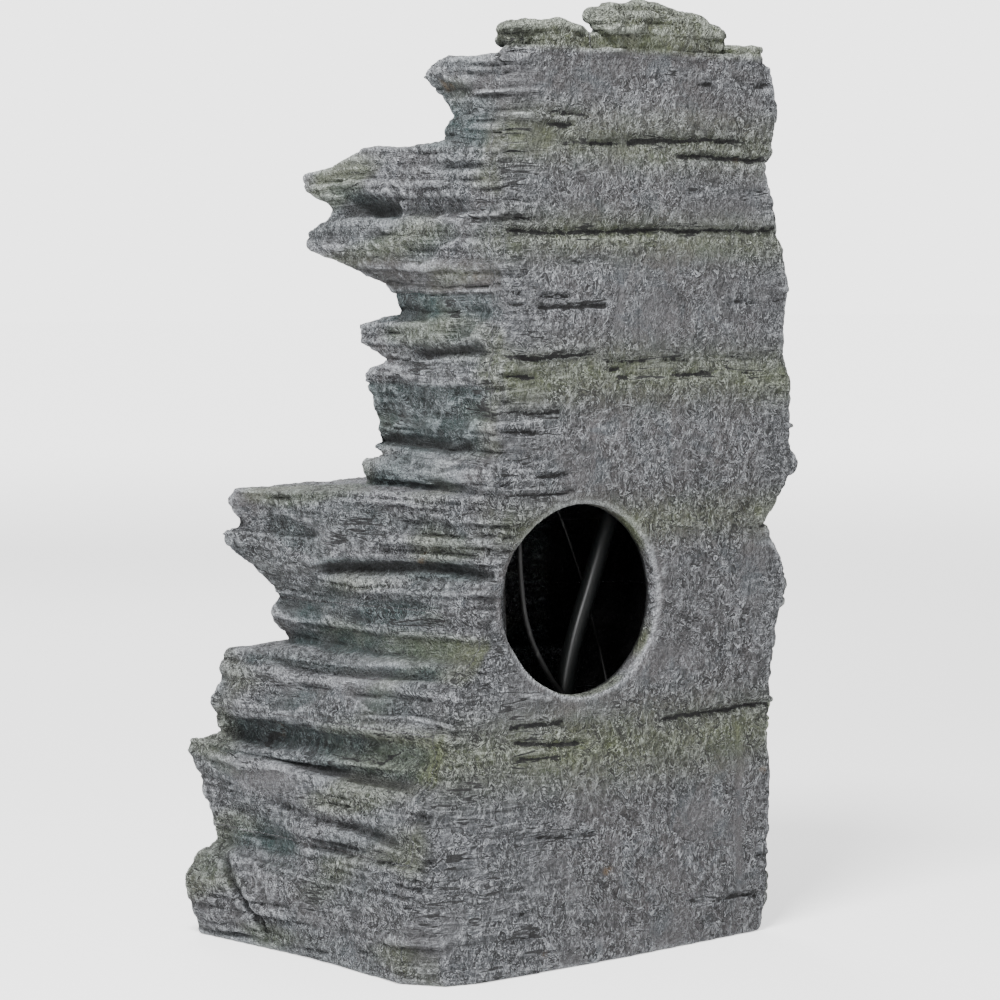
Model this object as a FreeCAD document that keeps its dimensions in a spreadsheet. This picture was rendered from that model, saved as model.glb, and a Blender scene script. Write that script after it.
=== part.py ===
"""A pump-fed rock cascade: hollow resin rock with ledges, a service hole in its rear wall, and the pump,
hose, lamp and cord that it holds.

Frame: +Z up, the origin under the middle of the bounding box. The flat rear wall faces +Y and the
cascade faces -Y. Millimetres throughout.
Rock shapes are written with two measures: `along` runs from the rear wall's +X bottom corner towards -X,
and `reach` runs forward from the rear wall's plane.
"""
import FreeCAD, Part
import math
import os

import Sketcher
from FreeCAD import Placement, Rotation, Vector

doc = FreeCAD.newDocument("rock_cascade")
sheet = doc.addObject("Spreadsheet::Sheet", "Dimensions")

DRIVING = {
    # the rock
    "corner_x": 221.0,
    "rear_y": 202.0,
    "wall_thickness": 22.0,
    "hole_along": 197.0,
    "hole_height": 380.0,
    "hole_diameter": 200.0,
    "shell_split": 494.0,
    "trough_floor": 912.0,
    "pool_floor": 458.0,
    "basin_floor": 150.0,
    # the reservoir pan and the basin grate
    "pan_lift": 3.0,
    "pan_sheet": 5.0,
    "pan_depth": 118.0,
    "grate_length": 120.0,
    "grate_height": 44.0,
    "grate_thickness": 4.0,
    "grate_slot_width": 5.0,
    "grate_slot_height": 30.0,
    "grate_pitch": 12.0,
    # the pump
    "pump_x": -48.0,
    "pump_y": 94.0,
    "pump_axis_height": 50.0,
    "housing_width": 58.0,
    "housing_height": 60.0,
    "housing_length": 66.0,
    "housing_round": 9.0,
    "rotor_bore": 20.0,
    "rotor_bore_depth": 54.0,
    "volute_diameter": 62.0,
    "volute_length": 38.0,
    "cavity_diameter": 43.0,
    "cavity_length": 33.0,
    "inlet_diameter": 18.0,
    "spigot_offset": 21.0,
    "spigot_diameter": 15.8,
    "spigot_bore": 11.0,
    "spigot_height": 62.0,
    "seal_diameter": 54.0,
    "seal_section": 2.0,
    "magnet_diameter": 17.0,
    "magnet_length": 44.0,
    "magnet_gap": 2.5,
    "shaft_diameter": 4.0,
    "shaft_clearance": 0.1,
    "shaft_length": 84.0,
    "shaft_rear": 50.5,
    "bush_length": 5.0,
    "port_diameter": 4.0,
    "port_circle": 13.0,
    "hub_diameter": 10.0,
    "hub_length": 26.0,
    "blade_span": 18.5,
    "blade_width": 15.0,
    "blade_thickness": 2.0,
    "impeller_start": 3.0,
    "cage_inner": 64.0,
    "cage_sheet": 2.0,
    "cage_length": 54.0,
    "cage_start": 32.0,
    "cage_round": 8.0,
    "slot_width": 4.0,
    "slot_length": 36.0,
    "slot_pitch": 8.0,
    "dial_diameter": 26.0,
    "dial_thickness": 4.0,
    "dial_grip_width": 5.0,
    "dial_grip_height": 6.0,
    "dial_pin": 6.0,
    "dial_pin_clearance": 0.1,
    "foot_diameter": 24.0,
    "foot_stem": 9.0,
    "foot_lip": 2.0,
    "foot_height": 10.0,
    "foot_spread": 20.0,
    "gland_root": 14.0,
    "gland_tip": 8.4,
    "gland_length": 20.0,
    "gland_set": 42.0,
    "terminal_width": 16.0,
    "terminal_length": 14.0,
    "terminal_height": 12.0,
    "terminal_set": 58.0,
    # the hose and its fittings
    "hose_outer": 20.0,
    "hose_bore": 16.0,
    "clamp_width": 9.0,
    "clamp_sheet": 1.2,
    "clamp_box": 12.0,
    "clamp_screw": 7.0,
    "fitting_along": 262.0,
    "fitting_reach": 112.0,
    "fitting_outer": 22.0,
    "fitting_bore": 12.0,
    "fitting_barb": 15.8,
    "fitting_barb_length": 34.0,
    "fitting_flange": 36.0,
    "fitting_flange_sheet": 4.0,
    "fitting_neck": 8.0,
    "nut_width": 34.0,
    "nut_height": 8.0,
    "washer_sheet": 2.0,
    "ceiling_height": 890.0,
    # the lamp
    "lamp_along": 205.0,
    "lamp_height": 875.0,
    "lamp_rear_reach": 128.0,
    "lamp_diameter": 26.0,
    "lamp_length": 36.0,
    "lamp_sheet": 2.0,
    "bezel_diameter": 34.0,
    "bezel_depth": 5.0,
    "lens_crown": 4.0,
    "lead_diameter": 3.0,
    "clip_width": 8.0,
    # the cord
    "cord_diameter": 6.0,
    "peg_diameter": 40.0,
    "peg_length": 60.0,
    "peg_height": 458.0,
    "peg_reach": 100.0,
    "peg_wall_along": 115.0,
    "peg_flange": 58.0,
    "peg_flange_sheet": 6.0,
    "coil_mean_diameter": 66.0,
    "coil_wrap": 13.0,
    "coil_along": 92.0,
    "coil_reach": 114.0,
    "tie_width": 10.0,
    "tie_sheet": 1.5,
    "plug_width": 34.0,
    "plug_thickness": 22.0,
    "plug_length": 40.0,
    "plug_round": 6.0,
    "pin_diameter": 4.8,
    "pin_length": 19.0,
    "pin_spacing": 19.0,
    "relief_length": 24.0,
}
for row_number, (alias, size) in enumerate(DRIVING.items(), start=1):
    sheet.set(f"A{row_number}", alias)
    sheet.set(f"B{row_number}", str(size))
    sheet.setAlias(f"B{row_number}", alias)
doc.recompute()

ALONG_X = Rotation(Vector(0, 1, 0), 90)
AGAINST_X = Rotation(Vector(0, 1, 0), -90)
TOWARDS_FRONT = Rotation(Vector(1, 0, 0), 90)
UPRIGHT = Rotation()


def size(text):
    """The value of a sum such as "cage_inner/2 + cage_sheet", read from the sheet."""
    total = 0.0
    sign = 1
    for word in text.split():
        if word in ("+", "-"):
            sign = 1 if word == "+" else -1
            continue
        alias, _, divisor = word.partition("/")
        total += sign * sheet.get(alias) / float(divisor or 1)
    return total


def cells(text):
    """The same sum as an expression of the sheet's cells."""
    return " ".join(word if word in ("+", "-") else "Dimensions." + word for word in text.split())


def bind(item, **sums):
    """Bind properties of an object to sums of the sheet's cells."""
    for name, text in sums.items():
        item.setExpression(name, cells(text))
    return item


def rock_point(along, reach, height):
    """A point of the rock from its distance along the rear wall, its forward reach and its height."""
    return Vector(size("corner_x") - along, size("rear_y") - reach, height)


# ---- Part primitives and booleans -------------------------------------------------------------------


def cylinder(name, radius, length, place, rotation=UPRIGHT):
    item = doc.addObject("Part::Cylinder", name)
    bind(item, Radius=radius, Height=length)
    item.Placement = Placement(place, rotation)
    return item


def box(name, length, width, height, corner):
    item = doc.addObject("Part::Box", name)
    bind(item, Length=length, Width=width, Height=height)
    item.Placement = Placement(corner, UPRIGHT)
    return item


def cut(name, base, tool):
    item = doc.addObject("Part::Cut", name)
    item.Base = base
    item.Tool = tool
    return item


def fuse(name, pieces):
    item = doc.addObject("Part::MultiFuse", name)
    item.Shapes = pieces
    return item


# ---- Sketches and PartDesign features -----------------------------------------------------------------


def new_body(name, place=None):
    body = doc.addObject("PartDesign::Body", name)
    body.Placement = place or Placement()
    return body


def new_sketch(body, name, role):
    """A sketch on the body's own XY_Plane, XZ_Plane or YZ_Plane."""
    sketch = body.newObject("Sketcher::SketchObject", name)
    plane = [feature for feature in body.Origin.OriginFeatures if feature.Role == role][0]
    sketch.AttachmentSupport = [(plane, "")]
    sketch.MapMode = "FlatFace"
    return sketch


def hold(sketch, kind, geometry, point, text):
    """Place one point of a sketch with a distance bound to the sheet, or on the axis where it is zero."""
    value = size(text)
    if abs(value) < 1e-9:
        axis = -2 if kind == "DistanceX" else -1
        sketch.addConstraint(Sketcher.Constraint("PointOnObject", geometry, point, axis))
        return
    index = sketch.addConstraint(Sketcher.Constraint(kind, -1, 1, geometry, point, value))
    sketch.setExpression(f"Constraints[{index}]", cells(text))


def outline(sketch, corners):
    """A closed outline of straight lines through corners, each a pair of sums; "" stands for zero."""
    first = sketch.GeometryCount
    count = len(corners)
    places = [Vector(size(x), size(y), 0) for x, y in corners]
    for index in range(count):
        sketch.addGeometry(Part.LineSegment(places[index], places[(index + 1) % count]), False)
    for index in range(count):
        following = first + (index + 1) % count
        sketch.addConstraint(Sketcher.Constraint("Coincident", first + index, 2, following, 1))
    for index, (x, y) in enumerate(corners):
        hold(sketch, "DistanceX", first + index, 1, x)
        hold(sketch, "DistanceY", first + index, 1, y)


def rectangle(sketch, left, right, low, high):
    outline(sketch, [(left, low), (right, low), (right, high), (left, high)])


def circle(sketch, x, y, radius):
    centre = Vector(size(x), size(y), 0)
    index = sketch.addGeometry(Part.Circle(centre, Vector(0, 0, 1), size(radius)), False)
    constraint = sketch.addConstraint(Sketcher.Constraint("Radius", index, size(radius)))
    sketch.setExpression(f"Constraints[{constraint}]", cells(radius))
    hold(sketch, "DistanceX", index, 3, x)
    hold(sketch, "DistanceY", index, 3, y)


def pad(body, name, sketch, length, backwards=False):
    feature = body.newObject("PartDesign::Pad", name)
    feature.Profile = sketch
    bind(feature, Length=length)
    feature.Reversed = backwards
    sketch.Visibility = False
    return feature


def pocket(body, name, sketch, length, backwards=False):
    """A pocket that runs against the sketch's normal, or along it when backwards."""
    feature = body.newObject("PartDesign::Pocket", name)
    feature.Profile = sketch
    bind(feature, Length=length)
    feature.Reversed = backwards
    return feature


def revolve(body, name, sketch):
    """A full turn of a sketch about its own vertical axis."""
    feature = body.newObject("PartDesign::Revolution", name)
    feature.Profile = sketch
    feature.ReferenceAxis = (sketch, ["V_Axis"])
    feature.Angle = 360
    return feature


def round_edges(body, name, base, chosen, radius):
    """Fillet the edges of a feature that the test picks out."""
    doc.recompute()
    names = [f"Edge{index + 1}" for index, edge in enumerate(base.Shape.Edges) if chosen(edge)]
    fillet = body.newObject("PartDesign::Fillet", name)
    fillet.Base = (base, names)
    bind(fillet, Radius=radius)
    return fillet


def runs_along(axis):
    """A test for straight edges that run along an axis."""

    def chosen(edge):
        if len(edge.Vertexes) != 2 or not isinstance(edge.Curve, Part.Line):
            return False
        direction = (edge.Vertexes[1].Point - edge.Vertexes[0].Point).normalize()
        return abs(abs(direction.dot(axis)) - 1) < 1e-6

    return chosen


# ---- Sub-parts -------------------------------------------------------------------------------------

sub_parts = []


def sub_part(item, label):
    item.Label = label
    sub_parts.append(item)
    return item


def shaped(label, shape):
    """A sub-part whose shape comes from Part's own functions."""
    item = doc.addObject("Part::Feature", label)
    item.Shape = shape
    item.Placement = Placement()
    return sub_part(item, label)


# ---- The rock: a stack of strata --------------------------------------------------------------------

# One row for each level where the outline changes, from the floor up. Each row holds the height, the
# rear corner's distance along, the +X tip's distance along and its reach, the reach of the front's middle
# and the far rear corner's distance along. A ledge is a row with a long reach between two short ones.
STRATA = [
    (0, -22, -54, 360, 395, 447),
    (60, -22, -68, 369, 402, 456),
    (90, -19, -54, 366, 400, 456),
    (104, -17, -32, 354, 394, 458),
    (165, -4, -38, 377, 412, 461),
    (198, 5, -50, 393, 428, 459),
    (210, 9, -47, 391, 424, 458),
    (220, 13, -20, 366, 292, 455),
    (254, 28, -30, 373, 296, 463),
    (275, 37, -22, 358, 298, 459),
    (289, 44, -27, 359, 300, 459),
    (310, 57, -20, 354, 296, 462),
    (320, 64, 26, 304, 284, 466),
    (344, 80, 16, 318, 290, 468),
    (374, 89, 18, 308, 296, 480),
    (388, 91, 8, 319, 306, 479),
    (412, 93, -14, 348, 340, 473),
    (437, 93, -22, 358, 364, 457),
    (450, 93, -14, 344, 352, 451),
    (476, 93, -20, 350, 374, 468),
    (488, 93, -14, 341, 368, 478),
    (494, 93, 80, 229, 232, 482),
    (517, 93, 79, 229, 226, 488),
    (524, 93, 91, 205, 206, 488),
    (534, 93, 86, 226, 214, 487),
    (561, 93, 86, 224, 222, 487),
    (607, 93, 84, 236, 238, 488),
    (617, 93, 84, 230, 232, 482),
    (626, 93, 92, 200, 204, 475),
    (645, 93, 80, 239, 240, 477),
    (666, 93, 80, 241, 242, 479),
    (678, 94, 92, 195, 200, 480),
    (700, 94, 90, 192, 202, 486),
    (722, 94, 67, 226, 236, 480),
    (748, 94, 48, 290, 278, 473),
    (764, 94, 47, 296, 298, 464),
    (787, 94, 60, 259, 262, 462),
    (808, 94, 48, 296, 312, 456),
    (826, 94, 45, 302, 320, 450),
    (841, 94, 68, 240, 286, 447),
    (851, 94, 76, 222, 232, 455),
    (856, 95, 95, 107, 160, 457),
    (870, 95, 94, 110, 158, 461),
    (884, 95, 97, 96, 154, 464),
    (900, 95, 92, 113, 172, 465),
    (924, 95, 87, 137, 194, 460),
    (936, 95, 91, 124, 188, 456),
    (943, 95, 95, 98, 165, 456),
]
BASE_FLARE = 24.0
FLARE_HEIGHT = 330.0
CORNER_CUT = 26.0
FRONT_MIDDLE = (190, 325)
TIP_SHOULDER = (62, 16)
FAR_TIP_SHARE = 0.26
FAR_REACH_SHARE = 0.94
EDGE_MARGIN = 4


def ring(row):
    """The outline of the rock at one level, from the far rear corner round the front.

    The foot of the rear wall bows out backwards, and the foot of the +X side runs nearly straight as far
    as the boulder at its tip.
    """
    height, near, tip, tip_reach, middle_reach, far = row
    far_tip = far + FAR_TIP_SHARE * (near - tip) + EDGE_MARGIN
    far_reach = FAR_REACH_SHARE * tip_reach
    flare = BASE_FLARE * max(0.0, 1 - height / FLARE_HEIGHT) ** 1.5
    tip_share = min(0.5, 0.15 + height / 400)
    return [
        rock_point(far, 0, height),
        rock_point(0.5 * far + 0.5 * far_tip, 0.45 * far_reach, height),
        rock_point(far_tip, far_reach, height),
        rock_point(far_tip - TIP_SHOULDER[0], far_reach + TIP_SHOULDER[1], height),
        rock_point(FRONT_MIDDLE[1], middle_reach, height),
        rock_point(FRONT_MIDDLE[0], middle_reach, height),
        rock_point(tip + TIP_SHOULDER[0], tip_reach + TIP_SHOULDER[1], height),
        rock_point(tip, tip_reach, height),
        rock_point((1 - tip_share) * near + tip_share * tip, 0.5 * tip_reach, height),
        rock_point(near, CORNER_CUT * flare / BASE_FLARE, height),
        rock_point(near + CORNER_CUT * flare / BASE_FLARE + EDGE_MARGIN, -0.6 * flare, height),
        rock_point(near + 70, -flare, height),
        rock_point(0.45 * near + 0.55 * far, -0.75 * flare, height),
    ]


def closed_face(corners):
    return Part.Face(Part.makePolygon(corners + corners[:1]))


def stack(rings):
    """A closed solid through rings of the same number of corners, with triangles between them."""
    faces = [closed_face(rings[0]), closed_face(rings[-1])]
    count = len(rings[0])
    for lower, upper in zip(rings, rings[1:]):
        for index in range(count):
            after = (index + 1) % count
            faces.append(closed_face([lower[index], lower[after], upper[after]]))
            faces.append(closed_face([lower[index], upper[after], upper[index]]))
    solid = Part.Solid(Part.Shell(faces))
    if solid.Volume < 0:
        solid.reverse()
    return solid


def block(low, high, corners):
    """An upright prism between two heights over corners given as (along, reach)."""
    face = closed_face([rock_point(along, reach, low) for along, reach in corners])
    return face.extrude(Vector(0, 0, high - low))


def slab(low, high, near, far, reach_in, reach_out):
    """An upright box between two heights, two distances along and two reaches."""
    return block(low, high, [(near, reach_in), (far, reach_in), (far, reach_out), (near, reach_out)])


def chamber_outline(near, tip, tip_reach, middle_reach, far, inset=0.0):
    """The plan of one storey of the hollow inside, drawn in by an inset all round."""
    rear = size("wall_thickness") + inset
    return [
        (far - inset, rear),
        (far - inset, 0.82 * middle_reach - inset),
        (FRONT_MIDDLE[1], middle_reach - inset),
        (FRONT_MIDDLE[0], middle_reach - inset),
        (tip + inset, tip_reach - inset),
        (near + inset, rear),
    ]


# The storeys of the hollow: low, high, near, tip, tip reach, middle reach, far.
STOREYS = [
    (-1, 130, 12, -8, 325, 345, 436),
    (130, 310, 80, 36, 285, 262, 440),
    (310, 446, 115, 64, 275, 262, 436),
    (446, 480, 115, 112, 184, 188, 436),
    (480, 690, 115, 112, 184, 188, 458),
    (690, 842, 115, 112, 178, 182, 430),
    (842, 890, 130, 140, 80, 130, 430),
]

strata_solid = stack([ring(row) for row in STRATA])
hollow = block(STOREYS[0][0], STOREYS[0][1], chamber_outline(*STOREYS[0][2:]))
for storey in STOREYS[1:]:
    hollow = hollow.fuse(block(storey[0], storey[1], chamber_outline(*storey[2:])))

BEYOND = 1200.0
BEHIND = -50
UNDER = -1
rear_slice = slab(UNDER, BEYOND, -BEYOND, BEYOND, BEHIND, size("wall_thickness"))
hole_axis_start = rock_point(size("hole_along"), BEHIND, size("hole_height"))
service_hole = Part.makeCylinder(size("hole_diameter/2"), 100, hole_axis_start, Vector(0, -1, 0))

# The three water spaces are open above, so their tops lie in the free air over each ledge.
TROUGH_CORNERS = [(212, 92), (312, 92), (330, 260), (196, 260)]
POOL_CORNERS = [(150, 236), (364, 236), (352, 352), (168, 352)]
BASIN_CORNERS = [(70, 306), (404, 306), (372, 408), (100, 408)]
POOL_TOP = 600
BASIN_TOP = 219
SPILL_SILL = 18
HOLE_CLEARANCE = 0.3
trough = block(size("trough_floor"), BEYOND, TROUGH_CORNERS)
pool = block(size("pool_floor"), POOL_TOP, POOL_CORNERS)
pool_spill = slab(size("pool_floor") + SPILL_SILL, POOL_TOP, 225, 290, 340, 420)
basin = block(size("basin_floor"), BASIN_TOP, BASIN_CORNERS)
return_slot = slab(158, 194, 206, 314, 240, 320)
fitting_low = rock_point(size("fitting_along"), size("fitting_reach"), size("ceiling_height") - 20)
fitting_hole = Part.makeCylinder(size("fitting_outer/2") + HOLE_CLEARANCE, 60, fitting_low)
lamp_hole_start = rock_point(size("lamp_along"), 100, size("lamp_height"))
lamp_hole_radius = size("lamp_diameter/2") + HOLE_CLEARANCE
lamp_hole = Part.makeCylinder(lamp_hole_radius, 80, lamp_hole_start, Vector(0, -1, 0))

rear_wall = strata_solid.common(rear_slice).cut(service_hole)
front_rock = strata_solid.cut(rear_slice).cut(hollow)
lower_slice = slab(UNDER, size("shell_split"), -BEYOND, BEYOND, BEHIND, BEYOND)
lower_shell = front_rock.common(lower_slice).cut(pool).cut(pool_spill).cut(basin).cut(return_slot)
upper_shell = front_rock.cut(lower_slice).cut(trough).cut(fitting_hole).cut(lamp_hole)


def only_solid(shape):
    """The one solid of a boolean's result, without its leftover shells."""
    solids = sorted(shape.Solids, key=lambda solid: solid.Volume)
    return solids[-1].removeSplitter()


shaped("rear_wall", only_solid(rear_wall))
shaped("lower_cascade_shell", only_solid(lower_shell))
shaped("upper_cascade_shell", only_solid(upper_shell))

# The crown: rows of height, near, far, rear reach and front reach. The +X end of each stone is cut on
# the skew, except for the small stone that starts beyond the limit and is cut square.
CROWN = {
    "crown_slab": [(943, 100, 452, 0, 88), (948, 94, 458, -2, 98), (953, 98, 456, 0, 90)],
    "crown_stone_low": [
        (953, 88, 214, 2, 92),
        (961, 82, 218, -1, 100),
        (972, 90, 210, 2, 92),
        (977, 112, 196, 10, 72),
    ],
    "crown_boulder": [
        (953, 222, 398, 2, 98),
        (972, 214, 400, -3, 108),
        (988, 208, 368, 0, 100),
        (1000, 232, 316, 12, 68),
    ],
    "crown_stone_far": [(953, 413, 458, 2, 84), (960, 413, 460, 0, 90), (964, 416, 452, 6, 78)],
}
CROWN_SKEW = 0.72
CROWN_SKEW_LIMIT = 400


def stone_ring(row):
    """An eight-cornered outline with cut corners at one level of a crown stone."""
    height, near, far, rear, front = row
    corner = 0.16 * (front - rear)
    end = near + CROWN_SKEW * (front - rear) if near < CROWN_SKEW_LIMIT else near
    return [
        rock_point(far - corner, rear, height),
        rock_point(far, rear + corner, height),
        rock_point(far, front - 2 * corner, height),
        rock_point(far - 2 * corner, front, height),
        rock_point(end + corner, front, height),
        rock_point(end - corner, front - 1.5 * corner, height),
        rock_point(near + 0.6 * corner, rear + corner, height),
        rock_point(near + 1.2 * corner, rear, height),
    ]


for label, rows in CROWN.items():
    shaped(label, stack([stone_ring(row) for row in rows]))

# ---- The reservoir pan, bonded inside the base, and the grate of the basin --------------------------

pan_low = size("pan_lift")
pan_high = size("pan_lift + pan_depth")
pan_outside = block(pan_low, pan_high, chamber_outline(*STOREYS[0][2:], inset=0.5))
pan_floor = size("pan_lift + pan_sheet")
pan_room = chamber_outline(*STOREYS[0][2:], inset=size("pan_sheet"))
pan_inside = block(pan_floor, pan_high + 1, pan_room)
shaped("reservoir_pan", pan_outside.cut(pan_inside))

grate_body = new_body("GrateBody", Placement(rock_point(260, 310, 176), UPRIGHT))
grate_outline = new_sketch(grate_body, "GrateOutline", "XZ_Plane")
rectangle(grate_outline, "- grate_length/2", "grate_length/2", "- grate_height/2", "grate_height/2")
pad(grate_body, "GratePlate", grate_outline, "grate_thickness", backwards=True)
slot_outline = new_sketch(grate_body, "GrateSlotOutline", "XZ_Plane")
slot_left = "- grate_length/2 + grate_pitch/2 + grate_slot_width/2"
rectangle(
    slot_outline,
    slot_left,
    slot_left + " + grate_slot_width",
    "- grate_slot_height/2",
    "grate_slot_height/2",
)
grate_slot = pocket(grate_body, "GrateSlot", slot_outline, "grate_thickness + grate_thickness")
grate_slot.Midplane = True
grate_slots = grate_body.newObject("PartDesign::LinearPattern", "GrateSlots")
grate_slots.Originals = [grate_slot]
grate_slots.Direction = (slot_outline, ["H_Axis"])
grate_slots.Occurrences = 9
grate_slots.Mode = "Spacing"
grate_slots.setExpression("Offset", cells("grate_pitch"))
grate_body.Tip = grate_slots
sub_part(grate_body, "basin_grate")

# ---- The pump: its axis lies along X ------------------------------------------------------------------

pump_centre = Vector(size("pump_x"), size("pump_y"), size("pump_axis_height"))
PUMP = Placement(pump_centre, UPRIGHT)


def pump_point(forward, sideways=0.0, up=0.0):
    """A point measured from the joint between the housing and the volute."""
    return pump_centre + Vector(forward, sideways, up)


housing = new_body("HousingBody", PUMP)
housing_outline = new_sketch(housing, "HousingOutline", "YZ_Plane")
rectangle(housing_outline, "- housing_width/2", "housing_width/2", "- housing_height/2", "housing_height/2")
housing_block = pad(housing, "HousingBlock", housing_outline, "housing_length", backwards=True)
round_edges(housing, "HousingCorners", housing_block, runs_along(Vector(1, 0, 0)), "housing_round")
rotor_outline = new_sketch(housing, "RotorOutline", "YZ_Plane")
circle(rotor_outline, "", "", "rotor_bore/2")
pocket(housing, "RotorBore", rotor_outline, "rotor_bore_depth")
sub_part(housing, "pump_housing")

volute_drum = cylinder("VoluteDrum", "volute_diameter/2", "volute_length", pump_point(0), ALONG_X)
spigot_foot = pump_point(size("spigot_offset"))
spigot_tube = cylinder("SpigotTube", "spigot_diameter/2", "spigot_height", spigot_foot)
volute_cavity = cylinder("VoluteCavity", "cavity_diameter/2", "cavity_length", pump_point(0), ALONG_X)
inlet = cylinder("Inlet", "inlet_diameter/2", "volute_length", pump_point(1), ALONG_X)
spigot_bore = cylinder("SpigotBore", "spigot_bore/2", "spigot_height + seal_section", spigot_foot)
groove_outer = cylinder(
    "SealGrooveOuter", "seal_diameter/2 + seal_section/2", "seal_section", pump_point(0), ALONG_X
)
groove_inner = cylinder(
    "SealGrooveInner", "seal_diameter/2 - seal_section/2", "seal_section", pump_point(0), ALONG_X
)
seal_groove = cut("SealGroove", groove_outer, groove_inner)
volute_solid = fuse("VoluteSolid", [volute_drum, spigot_tube])
volute_spaces = fuse("VoluteSpaces", [volute_cavity, inlet, spigot_bore, seal_groove])
sub_part(cut("Volute", volute_solid, volute_spaces), "pump_volute")

seal = doc.addObject("Part::Torus", "Seal")
bind(seal, Radius1="seal_diameter/2", Radius2="seal_section/2")
seal.Placement = Placement(pump_point(size("seal_section/2")), ALONG_X)
sub_part(seal, "seal_ring")

shaft_start = pump_point(-size("shaft_rear"))
shaft = cylinder("Shaft", "shaft_diameter/2", "shaft_length", shaft_start, ALONG_X)
sub_part(shaft, "impeller_shaft")

magnet_start = pump_point(-size("magnet_length + magnet_gap"))
magnet_drum = cylinder("MagnetDrum", "magnet_diameter/2", "magnet_length", magnet_start, ALONG_X)
running_bore = "shaft_diameter/2 + shaft_clearance/2"
magnet_bore = cylinder("MagnetBore", running_bore, "shaft_length", shaft_start, ALONG_X)
sub_part(cut("Magnet", magnet_drum, magnet_bore), "rotor_magnet")

impeller = new_body("ImpellerBody", PUMP)
hub_outline = new_sketch(impeller, "HubOutline", "YZ_Plane")
circle(hub_outline, "", "", "hub_diameter/2")
pad(impeller, "Hub", hub_outline, "hub_length")
blade_outline = new_sketch(impeller, "BladeOutline", "YZ_Plane")
rectangle(blade_outline, "hub_diameter/4", "blade_span", "- blade_thickness/2", "blade_thickness/2")
blade = pad(impeller, "Blade", blade_outline, "impeller_start + blade_width")
blades = impeller.newObject("PartDesign::PolarPattern", "Blades")
blades.Originals = [blade]
blades.Axis = (blade_outline, ["N_Axis"])
blades.Angle = 360
blades.Occurrences = 6
impeller.Tip = blades
back_gap_outline = new_sketch(impeller, "BackGapOutline", "YZ_Plane")
circle(back_gap_outline, "", "", "blade_span + blade_span")
circle(back_gap_outline, "", "", "hub_diameter/2")
pocket(impeller, "BackGap", back_gap_outline, "impeller_start", backwards=True)
hub_bore_outline = new_sketch(impeller, "HubBoreOutline", "YZ_Plane")
circle(hub_bore_outline, "", "", running_bore)
pocket(impeller, "HubBore", hub_bore_outline, "hub_length + hub_length", backwards=True)
impeller.Placement = Placement(pump_point(-size("magnet_gap")), UPRIGHT)
sub_part(impeller, "impeller")

rear_bush_place = pump_point(-size("rotor_bore_depth"))
rear_bush_disc = cylinder("RearBushDisc", "rotor_bore/2", "bush_length", rear_bush_place, ALONG_X)
rear_bush_bore = cylinder("RearBushBore", "shaft_diameter/2", "shaft_length", shaft_start, ALONG_X)
sub_part(cut("RearBush", rear_bush_disc, rear_bush_bore), "shaft_bush_rear")

front_bush = new_body("FrontBushBody", Placement(pump_point(size("cavity_length")), UPRIGHT))
bush_outline = new_sketch(front_bush, "BushOutline", "YZ_Plane")
circle(bush_outline, "", "", "inlet_diameter/2")
circle(bush_outline, "", "", "shaft_diameter/2")
pad(front_bush, "BushDisc", bush_outline, "bush_length")
port_outline = new_sketch(front_bush, "PortOutline", "YZ_Plane")
circle(port_outline, "port_circle/2", "", "port_diameter/2")
port = pocket(front_bush, "Port", port_outline, "bush_length + bush_length", backwards=True)
ports = front_bush.newObject("PartDesign::PolarPattern", "Ports")
ports.Originals = [port]
ports.Axis = (port_outline, ["N_Axis"])
ports.Angle = 360
ports.Occurrences = 6
front_bush.Tip = ports
sub_part(front_bush, "shaft_bush_front")

cage = new_body("CageBody", Placement(pump_point(size("cage_start")), UPRIGHT))
cage_outline = new_sketch(cage, "CageOutline", "YZ_Plane")
cage_half = "cage_inner/2 + cage_sheet"
rectangle(cage_outline, "- cage_inner/2 - cage_sheet", cage_half, "- cage_inner/2 - cage_sheet", cage_half)
cage_block = pad(cage, "CageBlock", cage_outline, "cage_length")
round_edges(cage, "CageCorners", cage_block, runs_along(Vector(1, 0, 0)), "cage_round")
cage_inner_outline = new_sketch(cage, "CageInnerOutline", "YZ_Plane")
rectangle(cage_inner_outline, "- cage_inner/2", "cage_inner/2", "- cage_inner/2", "cage_inner/2")
pocket(cage, "CageHollow", cage_inner_outline, "cage_length - cage_sheet", backwards=True)


def cage_slots(name, role):
    """Slots right through the two walls that a plane of the cage faces."""
    sketch = new_sketch(cage, name + "Outline", role)
    first = "cage_sheet + cage_sheet + slot_width"
    rectangle(sketch, first, first + " + slot_width", "- slot_length/2", "slot_length/2")
    slot = pocket(cage, name, sketch, "cage_inner + cage_inner")
    slot.Midplane = True
    slots = cage.newObject("PartDesign::LinearPattern", name + "Row")
    slots.Originals = [slot]
    slots.Direction = (sketch, ["H_Axis"])
    slots.Occurrences = 5
    slots.Mode = "Spacing"
    slots.setExpression("Offset", cells("slot_pitch"))
    cage.Tip = slots


cage_slots("SideSlot", "XZ_Plane")
cage_slots("TopSlot", "XY_Plane")
pin_outline = new_sketch(cage, "PinHoleOutline", "YZ_Plane")
circle(pin_outline, "", "", "dial_pin/2 + dial_pin_clearance/2")
pocket(cage, "PinHole", pin_outline, "cage_length + cage_length", backwards=True)
sub_part(cage, "strainer_cage")

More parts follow.
